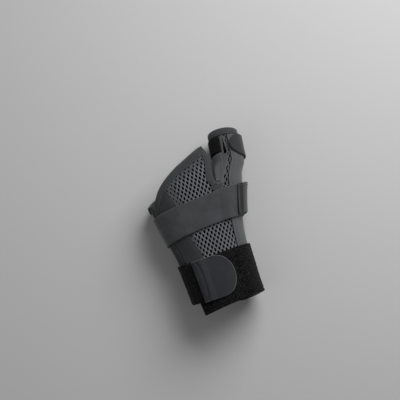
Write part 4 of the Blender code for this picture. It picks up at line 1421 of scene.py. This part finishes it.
web_tape = cloth_body(
    "web_tape", web_place, WEB_TAPE_SIZE, (0.0006, 0.0006), WEB_TAPE_LOW, WEB_TAPE_TOP,
    lambda r, c: groove(r, WEB_TAPE_SEAM), tape_knit,
)
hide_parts("back_binding")
web_round = np.linspace(0.06, 0.94, 60)
stitches(
    "web_tape_stitches",
    lambda lift: web_place(
        SEAM_INSET / WEB_TAPE_SIZE[0], web_round, TAPE_TOP - WEB_TAPE_STITCH_DROP + lift
    ),
    thread_grey,
)


# The cuff's overlocked edge: turns of dark thread over the padding's cut edge, pulled into
# close ridges, all round from the lap to the palm wing's hidden end.

OVERLOCK_REACH = 0.0024
OVERLOCK_PITCH = 0.0011
OVERLOCK_STEP = 0.00022
OVERLOCK_RIDGE = 0.00012
CUFF_PLACES = 60
PALM_CUFF_PLACES = 90

# The thread's section, as the tape's, but here share is 0 at the cut edge and -1 at its reach
OVERLOCK_SKIN = (
    TapePoint(-1.0, -0.00010, 0.0),
    TapePoint(-0.9, 0.00012, 0.0),
    TapePoint(-0.4, 0.00016, 0.0),
    TapePoint(0.0, 0.00014, 0.0),
    TapePoint(0.0, -0.00040, 0.00030),
    TapePoint(0.0, -0.00150, 0.00050),
    TapePoint(0.0, -0.00260, 0.00030),
    TapePoint(0.0, -0.00314, 0.0),
    TapePoint(-0.4, -0.00316, 0.0),
    TapePoint(-0.9, -0.00312, 0.0),
    TapePoint(-1.0, -0.00290, 0.0),
)


def cuff_points(inset, lift):
    """The cuff's edge all round, from the back wing's lap to the palm wing's hidden end."""
    back, strip = np.linspace(1, 0, CUFF_PLACES), np.linspace(1, -1, CUFF_PLACES)[1:]
    palm = np.linspace(0, 1, PALM_CUFF_PLACES)[1:]
    low, high = back_ends(back)
    on_back = back_wing(back, inset / (high - low), lift)
    on_thumb = thumb_strip(strip, cuff_edge(CUFF_SLIT_TURN) - WEB_REACH + inset, lift)
    low, high = palm_ends(palm)
    return np.concatenate([on_back, on_thumb, palm_wing(palm, inset / (high - low), lift)])


def make_overlock():
    """The overlocked edge as one ridged skin over the cuff's cut edge."""
    edge = cuff_points(0.0, 0.0)
    lengths, _, _ = frame_along(edge, np.ones_like(edge))
    where = np.arange(0.0, lengths[-1], OVERLOCK_STEP)
    ridge = np.abs(np.sin(where * math.pi / OVERLOCK_PITCH)) * OVERLOCK_RIDGE
    inward = read_along(lengths, cuff_points(OVERLOCK_REACH, 0.0) - edge, where)
    outward = read_along(lengths, cuff_points(0.0, OUTWARD_STEP) - edge, where) / OUTWARD_STEP
    at = read_along(lengths, edge, where)
    inward /= OVERLOCK_REACH
    lines = []
    for point in OVERLOCK_SKIN:
        grown = ridge * np.sign(point.lift + WRAP_WALL / 2) * (point.beyond == 0.0)
        beyond = point.beyond + ridge * (point.beyond > 0.0)
        shift = inward * (-point.share * OVERLOCK_REACH - beyond)[:, None]
        lines.append(at + shift + outward * (point.lift + grown)[:, None])
    return swept("cuff_overlock", lines, False, thread_dark)


overlock = make_overlock()
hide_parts("wrap")


# The wrist band: wide black loop pile over the wrist, which the tab's hooks hold. It is sewn
# along its ends and lies over the lap, the mesh and the stay's sleeve.

PILE_GROUND = (0.014, 0.014, 0.015)
# The light grey of the chosen loop tips is a painted highlight
PILE_TIP_HIGHLIGHTS = (0.085, 0.088, 0.093)
BAND_WALL = 0.0012
ON_WRAP = GAP
ON_SLEEVE = GAP + SLEEVE_WALL + 2 * GAP
BAND_SEWN_TURN = -37.0
BAND_SIZE = (0.0465, 0.1180)
PILE_STEP = 0.00050
PILE_HEIGHT = 0.00016
PILE_NEAR = 1.5
BAND_LAP_SEAM = Seam(0.0030, 0.0007, 0.0006)
BAND_CUFF_SEAM = Seam(0.0026, 0.0006, 0.0004)

# Loops of pile of uneven height, and the slow waves of the cloth under them
PILE_WAVES = (
    Wave(0.0014, 0.6 * PILE_HEIGHT, 21),
    Wave(0.0007, PILE_HEIGHT, 22),
    Wave(0.018, 0.00012, 23),
)
BandLift = namedtuple("BandLift", "turn lift")
BAND_LIFTS = (
    BandLift(BAND_SEWN_TURN, ON_WRAP),
    BandLift(-26.0, ON_WRAP),
    BandLift(-15.0, ON_SLEEVE),
    BandLift(48.0, ON_SLEEVE),
    BandLift(60.0, ON_WRAP + GAP),
    BandLift(80.0, ON_WRAP),
    BandLift(180.0, ON_WRAP),
)


def pile_group():
    """Pile loops: a factor for painted highlights on their tips, and a height."""
    group, given, put_out = new_group(
        "pile",
        [
            ("Place", "NodeSocketVector", None),
            ("Loop", "NodeSocketFloat", 0.0009),
            ("Share", "NodeSocketFloat", 0.3),
        ],
        [("TipHighlights", "NodeSocketFloat"), ("Height", "NodeSocketFloat")],
    )
    cells = group.nodes.new("ShaderNodeTexVoronoi")
    scale = math_node(group, "DIVIDE", 1.0, given["Loop"])
    group.links.new(scale, cells.inputs["Scale"])
    group.links.new(given["Place"], cells.inputs["Vector"])
    split = group.nodes.new("ShaderNodeSeparateColor")
    group.links.new(cells.outputs["Color"], split.inputs[0])
    chosen = math_node(group, "LESS_THAN", split.outputs["Red"], given["Share"])
    away = math_node(group, "MULTIPLY", cells.outputs["Distance"], PILE_NEAR, clamp=True)
    near = math_node(group, "SUBTRACT", 1.0, away)
    group.links.new(math_node(group, "MULTIPLY", chosen, near), put_out["TipHighlights"])
    group.links.new(near, put_out["Height"])
    return group


PILE = pile_group()


def pile_material(name, loop, share):
    """Black loop pile: dark ground, painted highlights on loop tips, painted shade between loops.
    """
    material, tree, place = cloth_tree(name, 0.04, 0.6, 0.08)
    pile = group_node(tree, PILE, place, Loop=loop, Share=share)
    handling = group_node(tree, HANDLING, place, Variation=0.35, Lint=0.03)
    mix = tree.nodes.new("ShaderNodeMix")
    mix.data_type = "RGBA"
    mix.inputs["A"].default_value = (*PILE_GROUND, 1.0)
    mix.inputs["B"].default_value = (*PILE_TIP_HIGHLIGHTS, 1.0)
    tree.links.new(pile.outputs["TipHighlights"], mix.inputs["Factor"])
    # The pile's height darkens its colour between the loops: painted shade
    tree.links.new(pile.outputs["Height"], handling.inputs["Shade"])
    tree.links.new(mix.outputs["Result"], handling.inputs["Colour"])
    dress(tree, handling, pile.outputs["Height"], 0.0003, 0.9)
    return material


def band_relief(r, c):
    """The pile, pressed flat in the seams by the cuff and by the lap."""
    seams = groove(BAND_SIZE[1] - c, BAND_LAP_SEAM) + groove(r, BAND_CUFF_SEAM)
    return waves(r, c, PILE_WAVES) + seams


def band_place(u, v, lift):
    """The band: u from the cuff up, v round from the palm side of the thumb to the lap."""
    lap = lap_turn(0.0)
    low = cuff_edge(BAND_SEWN_TURN + (lap - BAND_SEWN_TURN) * v) - GAP
    y = low + (BAND_REACH - low) * u
    turn = BAND_SEWN_TURN + (lap_turn(y) - BAND_SEWN_TURN) * v
    return on_wrap(turn, y, lift + through(BAND_LIFTS, "turn", "lift", turn))


loop_pile = pile_material("loop_pile", 0.00080, 0.30)
wrist_band = cloth_body(
    "band_pile", band_place, BAND_SIZE, (PILE_STEP, PILE_STEP), 0.0, BAND_WALL, band_relief,
    loop_pile,
)
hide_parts("wrist_band")


# The wrist strap: 38 mm loop elastic with a plain woven edge, sewn to the band on the palm side
# and closed over the back of the wrist. Its D-shaped hook tab has a sewn groove inside its edge,
# a light-grey cord round its free edge that paints a highlight along the rim, and a bar of
# stitches where the elastic is folded into it. The place of a label is left bare.

TAB_COLOUR = (0.043, 0.045, 0.051)
# The rim's light grey is a painted highlight along the tab's free edge
RIM_HIGHLIGHT_COLOUR = (0.180, 0.190, 0.195)
WRIST_STRAP_WIDTH = 0.0380
WRIST_STRAP_SIZE = (WRIST_STRAP_WIDTH, 0.1100)
TAB_WALL = 0.0016
WRIST_TAB_ROUND = 27.0
WRIST_TAB_SIZE = (WRIST_STRAP_WIDTH, 0.0330)
ON_BAND = GAP + BAND_WALL + GAP
BAND_GAP = 0.0005
STRAP_SEWN_TURN = 318.0
TAB_SEAM_INSET = 0.0022
RIM_RADIUS = 0.00035
RIM_INSET_SHARE = 0.004
RIM_LIFT = TAB_WALL * 0.62
WOVEN_EDGE = 0.0012
WOVEN_EDGE_END = 0.0014
WOVEN_EDGE_DROP = 0.0002
WOVEN_EASE = 0.0010
SMOOTH_EASE = 0.010
WRIST_SMOOTH_FROM = 0.058
WRIST_TAB_SEAM = Seam(TAB_SEAM_INSET, 0.0006, 0.00015)
WRIST_TAB_WAVES = (Wave(0.012, 0.00020, 31), Wave(0.0020, 0.00008, 32))
ROOT_SEAMS = (Seam(0.0014, 0.0008, 0.0006), Seam(0.0070, 0.0009, 0.0007))
ROOT_STITCH_DROP = 0.0005
TAB_SIDE_PLACES = 40
TAB_SIDE_START = 0.97
Course = namedtuple("Course", "turn middle lift")
WRIST_STRAP_COURSE = (
    Course(112.0, -0.050, ON_BAND),
    Course(148.0, -0.025, ON_BAND),
    Course(166.0, -0.014, BAND_GAP),
    Course(200.0, -0.005, ON_WRAP),
    Course(STRAP_SEWN_TURN, 0.0, ON_WRAP),
)
WRIST_TAB_COURSE = (
    Course(66.0, -0.075, ON_BAND),
    Course(101.0, -0.056, ON_BAND),
    Course(109.0, -0.052, ON_BAND + STRAP_WALL + GAP),
    Course(123.0, -0.046, ON_BAND + STRAP_WALL + GAP),
)


def on_course(course, width, turn, across, lift):
    """Points over a strap's inner face: across is -1 at its elbow side to 1."""
    middle = WEB_REACH * through(course, "turn", "middle", turn)
    return on_wrap(turn, middle + across * width / 2, lift + straight(course, "turn", "lift", turn))


def along_course(course, width, u, v, lift):
    """Points of a whole strap: u across its width, v from its first turn to its last."""
    first, last = course[0].turn, course[-1].turn
    return on_course(course, width, first + (last - first) * v, 2 * u - 1, lift)


def wrist_strap_place(u, v, lift):
    """The wrist strap: u across its width, v round from the tab to the palm side."""
    return along_course(WRIST_STRAP_COURSE, WRIST_STRAP_WIDTH, u, v, lift)


def elastic_relief(r, c):
    """Pile between two thin woven edges, smooth on the palm side, where the strap lies flat."""
    edge = np.minimum(r, WRIST_STRAP_SIZE[0] - r)
    loops = waves(r, c, PILE_WAVES) * ease((edge - WOVEN_EDGE) / WOVEN_EASE)
    loops = loops * ease((WRIST_SMOOTH_FROM - c) / SMOOTH_EASE)
    return loops - WOVEN_EDGE_DROP * (edge < WOVEN_EDGE_END)


wrist_strap = cloth_body(
    "wrist_elastic", wrist_strap_place, WRIST_STRAP_SIZE, (PILE_STEP, 0.0006), 0.0, STRAP_WALL,
    elastic_relief, loop_pile,
)
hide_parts("wrist_strap")


def wrist_tab_place(u, v, lift):
    """The D tab: u across its width, v from its round tip to its sewn root."""
    across = np.sin(np.radians(180.0 * u - 90.0))
    tip, root = WRIST_TAB_COURSE[0].turn, WRIST_TAB_COURSE[-1].turn
    start = tip + WRIST_TAB_ROUND * (1 - np.sqrt(np.clip(1 - across * across, 0.0, 1.0)))
    turn = start + (root - start) * v
    return on_course(WRIST_TAB_COURSE, WRIST_STRAP_WIDTH, turn, across, lift)


def free_edge(r, from_end, width):
    """How far a place on a tab of this width is from its sides or its free end."""
    return np.minimum(np.minimum(r, width - r), from_end)


def wrist_tab_relief(r, c):
    """A stitched groove inside the rim and two pressed lines at the sewn root."""
    lines = sum(groove(WRIST_TAB_SIZE[1] - c, seam) for seam in ROOT_SEAMS)
    rim = groove(free_edge(r, c, WRIST_TAB_SIZE[0]), WRIST_TAB_SEAM)
    return rim + lines + waves(r, c, WRIST_TAB_WAVES)


def tab_outline(place, corner):
    """The line round a tab's free edges at this inset share: up one side, round and back."""
    side = np.linspace(TAB_SIDE_START, 0.0, TAB_SIDE_PLACES) * (1 - corner) + corner
    tip = np.linspace(corner, 1 - corner, 2 * TAB_SIDE_PLACES)[1:-1]
    u = np.concatenate([np.full(len(side), corner), tip, np.full(len(side), 1 - corner)])
    v = np.concatenate([side, np.full(len(tip), corner), side[::-1]])
    return lambda lift: place(u, v, lift)


tab_cloth = cloth_material("tab_cloth", TAB_COLOUR, 0.0004, 0.0004, 0.00004, 0.5, 0.05)
# The rim cloth's light grey paints the highlight along the tab's edge
rim_highlight_cloth = cloth_material("rim_highlight_cloth", RIM_HIGHLIGHT_COLOUR, 0.0004, 0.0004, 0.00003, 0.2, 0.010)
wrist_tab = cloth_body(
    "wrist_hook_tab", wrist_tab_place, WRIST_TAB_SIZE, (0.0008, 0.0006), 0.0, TAB_WALL,
    wrist_tab_relief, tab_cloth,
)
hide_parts("wrist_tab")
# The cord round the tab's free edges carries that painted highlight
tab_highlight_rim = tube_along(
    "wrist_tab_highlight_rim",
    tab_outline(lambda u, v, lift: wrist_tab_place(u, v, RIM_LIFT + lift), RIM_INSET_SHARE),
    RIM_RADIUS, rim_highlight_cloth,
)
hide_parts("wrist_tab")
for number, root_seam in enumerate(ROOT_SEAMS, 1):
    stitches(
        f"tab_root_stitches_{number}",
        lambda lift, at=1 - root_seam.inset / WRIST_TAB_SIZE[1]: wrist_tab_place(
            SHORT_SEAM, at, TAB_WALL - ROOT_STITCH_DROP + lift
        ),
        thread_dark,
    )


# The hand strap: 28 mm brushed elastic round the palm and over the back of the hand, with a
# thicker hook tab sewn on at the thumb side. Both are soft, and dent where the hand bends.

STRAP_COLOUR = (0.076, 0.083, 0.088)
SOFT_TAB_COLOUR = (0.041, 0.043, 0.044)
HAND_STRAP_WIDTH = 0.0280
HAND_STRAP_SIZE = (HAND_STRAP_WIDTH, 0.2080)
HAND_TAB_WIDTH = 0.0265
HAND_TAB_WALL = 0.0026
HAND_TAB_SIZE = (HAND_TAB_WIDTH, 0.0345)
HAND_TAB_HEM = 0.0050
HAND_TAB_CORNER_TURN = 10.0
HAND_TAB_CORNER_SHARE = 0.42
HAND_SMOOTH_FROM = 0.125
HAND_STRAP_SEAM = Seam(0.0016, 0.0005, 0.00016)
HAND_STRAP_WAVES = (
    Wave(0.017, 0.00048, 41),
    Wave(0.006, 0.00016, 42),
    Wave(0.0019, 0.00009, 43),
)
HAND_TAB_SEAM = Seam(TAB_SEAM_INSET, 0.0006, 0.0003)
HAND_HEM_SEAM = Seam(HAND_TAB_HEM / 2, 0.0006, 0.0002)
HAND_HEM_DROP = 0.0015
HAND_HEM_EASE = 0.0012
HAND_TAB_WAVES = (Wave(0.010, 0.00010, 45),)
TAB_STITCH_DROP = 0.0002
TAPE_GAP = 0.0009
ON_BINDING = GAP + BINDING_WALL + TAPE_GAP
ON_HAND_STRAP = ON_SLEEVE + STRAP_WALL + 2 * GAP
HAND_STRAP_COURSE = (
    Course(-22.0, 0.752, ON_SLEEVE),
    Course(50.0, 0.750, ON_SLEEVE),
    Course(62.0, 0.748, BAND_GAP),
    Course(98.0, 0.742, BAND_GAP),
    Course(112.0, 0.735, ON_BINDING),
    Course(154.0, 0.718, ON_BINDING),
    Course(172.0, 0.712, BAND_GAP),
    Course(200.0, 0.712, ON_WRAP),
    Course(STRAP_SEWN_TURN, 0.730, ON_WRAP),
)
HAND_TAB_COURSE = (
    Course(-27.0, 0.768, ON_HAND_STRAP),
    Course(33.0, 0.749, ON_HAND_STRAP),
)


def hand_strap_place(u, v, lift):
    """The hand strap: u across its width, v round from the thumb side."""
    return along_course(HAND_STRAP_COURSE, HAND_STRAP_WIDTH, u, v, lift)


def hand_strap_relief(r, c):
    """Soft dents, thin woven edges and a fine brushed nap, smooth where the strap lies flat."""
    edge = np.minimum(r, HAND_STRAP_SIZE[0] - r)
    dents = waves(r, c, HAND_STRAP_WAVES) * ease((HAND_SMOOTH_FROM - c) / SMOOTH_EASE)
    return dents + groove(edge, HAND_STRAP_SEAM)


def hand_tab_place(u, v, lift):
    """The hand strap's tab: u across its width, v from its round-cornered end to its root."""
    across = 2 * u - 1
    end, root = HAND_TAB_COURSE[0].turn, HAND_TAB_COURSE[-1].turn
    beyond = np.clip(np.abs(across) - (1 - HAND_TAB_CORNER_SHARE), 0.0, 1.0)
    beyond = beyond / HAND_TAB_CORNER_SHARE
    start = end + HAND_TAB_CORNER_TURN * (1 - np.sqrt(np.clip(1 - beyond * beyond, 0.0, 1.0)))
    return on_course(HAND_TAB_COURSE, HAND_TAB_WIDTH, start + (root - start) * v, across, lift)


def hand_tab_relief(r, c):
    """A stitched groove inside the edge, a soft swell between and a thin hem at the root."""
    root = HAND_TAB_SIZE[1] - c
    hem = -HAND_HEM_DROP * (1 - ease((root - HAND_TAB_HEM + HAND_HEM_EASE) / HAND_HEM_EASE))
    swell = waves(r, c, HAND_TAB_WAVES) + groove(root, HAND_HEM_SEAM)
    return groove(free_edge(r, c, HAND_TAB_SIZE[0]), HAND_TAB_SEAM) + hem + swell


brushed = cloth_material(
    "brushed_elastic", STRAP_COLOUR, 0.0009, 0.0004, 0.00003, 0.5, 0.03, 0.4, unevenness=1.2
)
hand_strap = cloth_body(
    "hand_elastic", hand_strap_place, HAND_STRAP_SIZE, (0.0008, 0.0009), 0.0, STRAP_WALL,
    hand_strap_relief, brushed,
)
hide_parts("hand_strap")
soft_tab_cloth = cloth_material(
    "soft_tab_cloth", SOFT_TAB_COLOUR, 0.0004, 0.0004, 0.00004, 0.2, 0.010
)
hand_tab = cloth_body(
    "hand_hook_tab", hand_tab_place, HAND_TAB_SIZE, (0.0007, 0.0007), 0.0, HAND_TAB_WALL,
    hand_tab_relief, soft_tab_cloth,
)
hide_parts("hand_tab")
stitches(
    "hand_tab_stitches",
    tab_outline(
        lambda u, v, lift: hand_tab_place(u, v, HAND_TAB_WALL - TAB_STITCH_DROP + lift),
        TAB_SEAM_INSET / HAND_TAB_SIZE[0],
    ),
    thread_grey,
)


# The thumb strap: narrow black loop elastic round the far side of the thumb tube, under a
# round-ended hook tab that is stitched all round.

THUMB_STRAP_START = 106.0
THUMB_STRAP_END = 318.0
THUMB_STRAP_SIZE = (THUMB_STRAP_WIDTH, 0.0500)
THUMB_TAB_WIDTH = 0.0200
THUMB_TAB_MIDDLE = 0.0322
THUMB_TAB_START = -50.0
THUMB_TAB_STRAIGHT_END = 34.0
THUMB_TAB_TIP = 74.0
THUMB_TAB_SIZE = (THUMB_TAB_WIDTH, 0.0340)
CREASE_STRETCH = 0.25
CREASE_WAVES = (Wave(0.0035, 0.00012, 51),)
THUMB_STRAP_WAVES = (Wave(0.0007, 0.00005, 52),)
THUMB_TAB_SEAM = Seam(TAB_SEAM_INSET, 0.0005, 0.0002)
THUMB_TAB_WAVES = (Wave(0.008, 0.00008, 53),)


def thumb_strap_place(u, v, lift):
    """The thumb strap: u along the thumb, v round from the window's far side."""
    turn = THUMB_STRAP_START + (THUMB_STRAP_END - THUMB_STRAP_START) * v
    return on_tube(turn, THUMB_STRAP_MIDDLE + (u - 0.5) * THUMB_STRAP_WIDTH, GAP + lift)


def thumb_strap_relief(r, c):
    """Fine loops and the creases of a strap pulled round a small curve."""
    return waves(r * CREASE_STRETCH, c, CREASE_WAVES) + waves(r, c, THUMB_STRAP_WAVES)


def thumb_tab_place(u, v, lift):
    """The thumb strap's tab: u along the thumb, v from its sewn end round to its tip."""
    across = np.sin(np.radians(180.0 * u - 90.0))
    round_share = np.sqrt(np.clip(1 - across * across, 0, 1))
    round_end = (THUMB_TAB_TIP - THUMB_TAB_STRAIGHT_END) * round_share
    turn = THUMB_TAB_START + (THUMB_TAB_STRAIGHT_END + round_end - THUMB_TAB_START) * v
    return on_tube(turn, THUMB_TAB_MIDDLE + across * THUMB_TAB_WIDTH / 2, ON_SLEEVE + lift)


def thumb_tab_relief(r, c):
    """A stitched groove inside the edge."""
    edge = free_edge(r, THUMB_TAB_SIZE[1] - c, THUMB_TAB_SIZE[0])
    return groove(edge, THUMB_TAB_SEAM) + waves(r, c, THUMB_TAB_WAVES)


thumb_pile = pile_material("thumb_pile", 0.00055, 0.15)
thumb_strap = cloth_body(
    "thumb_elastic", thumb_strap_place, THUMB_STRAP_SIZE, (0.0005, 0.0006), 0.0, STRAP_WALL,
    thumb_strap_relief, thumb_pile,
)
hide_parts("thumb_strap")
thumb_tab = cloth_body(
    "thumb_hook_tab", thumb_tab_place, THUMB_TAB_SIZE, (0.0007, 0.0007), 0.0, TAB_WALL,
    thumb_tab_relief, soft_tab_cloth,
)
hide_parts("thumb_tab")
stitches(
    "thumb_tab_stitches",
    tab_outline(
        lambda u, v, lift: thumb_tab_place(u, 1 - v, TAB_WALL - TAB_STITCH_DROP + lift),
        TAB_SEAM_INSET / THUMB_TAB_SIZE[0],
    ),
    thread_grey,
)


# Floor, light and camera: a plain pale floor, a dim white room with two soft lights, and a
# camera that looks down at the splint from the photo's side. None is part of the splint.

FLOOR_HALF = 6
FLOOR_GREY = 0.6
FLOOR_ROUGHNESS = 0.9
ROOM_STRENGTH = 0.14
floor_signs = ((-1, -1), (1, -1), (1, 1), (-1, 1))
floor_corners = [(x * FLOOR_HALF, y * FLOOR_HALF, 0) for x, y in floor_signs]
floor_mesh = bpy.data.meshes.new("floor")
floor_mesh.from_pydata(floor_corners, [], [(0, 1, 2, 3)])
floor = bpy.data.objects.new("floor", floor_mesh)
bpy.context.scene.collection.objects.link(floor)
floor_material = bpy.data.materials.new("floor_paint")
floor_material.use_nodes = True
floor_inputs = floor_material.node_tree.nodes["Principled BSDF"].inputs
floor_inputs["Base Color"].default_value = (FLOOR_GREY, FLOOR_GREY, FLOOR_GREY, 1.0)
floor_inputs["Roughness"].default_value = FLOOR_ROUGHNESS
floor_mesh.materials.append(floor_material)

world = bpy.data.worlds.new("studio")
world.use_nodes = True
world.node_tree.nodes["Background"].inputs["Color"].default_value = (1.0, 1.0, 1.0, 1.0)
world.node_tree.nodes["Background"].inputs["Strength"].default_value = ROOM_STRENGTH
bpy.context.scene.world = world
bpy.context.scene.view_settings.view_transform = "Standard"

Softbox = namedtuple("Softbox", "name place size power")
SOFTBOXES = (
    Softbox("key", (0.55, 0.45, 0.62), 0.65, 7.8),
    Softbox("fill", (-0.70, -0.10, 0.70), 0.80, 0.9),
)
for box in SOFTBOXES:
    light = bpy.data.lights.new(box.name, "AREA")
    light.size, light.energy = box.size, box.power
    lamp = bpy.data.objects.new(box.name, light)
    lamp.location = box.place
    lamp.rotation_euler = (-Vector(box.place)).to_track_quat("-Z", "Y").to_euler()
    bpy.context.scene.collection.objects.link(lamp)

VIEW_SCALE = 0.00092
VIEW_TILT = math.radians(7.0)
VIEW_ROLL = math.radians(21.0)
VIEW_DISTANCE = 1.2
VIEW_ORIGIN = (219.5, 272.3)
FRAME_SIDE = 400
AIM_HEIGHT = 0.025
SENSOR_WIDTH = 36.0
towards = Vector((0.0, math.sin(VIEW_TILT), -math.cos(VIEW_TILT)))
right = towards.cross(Vector((math.sin(VIEW_ROLL), math.cos(VIEW_ROLL), 0.0))).normalized()
upwards = right.cross(towards)
aim = Vector((0.0, 0.0, AIM_HEIGHT))
aim += right * (FRAME_SIDE / 2 - VIEW_ORIGIN[0]) * VIEW_SCALE
aim -= upwards * (FRAME_SIDE / 2 - VIEW_ORIGIN[1]) * VIEW_SCALE
camera_data = bpy.data.cameras.new("camera")
camera_data.sensor_width = SENSOR_WIDTH
camera_data.lens = camera_data.sensor_width * VIEW_DISTANCE / (FRAME_SIDE * VIEW_SCALE)
camera = bpy.data.objects.new("camera", camera_data)
axes = Matrix((right, upwards, -towards)).transposed()
camera.matrix_world = Matrix.Translation(aim - towards * VIEW_DISTANCE) @ axes.to_4x4()
bpy.context.scene.collection.objects.link(camera)
bpy.context.scene.camera = camera
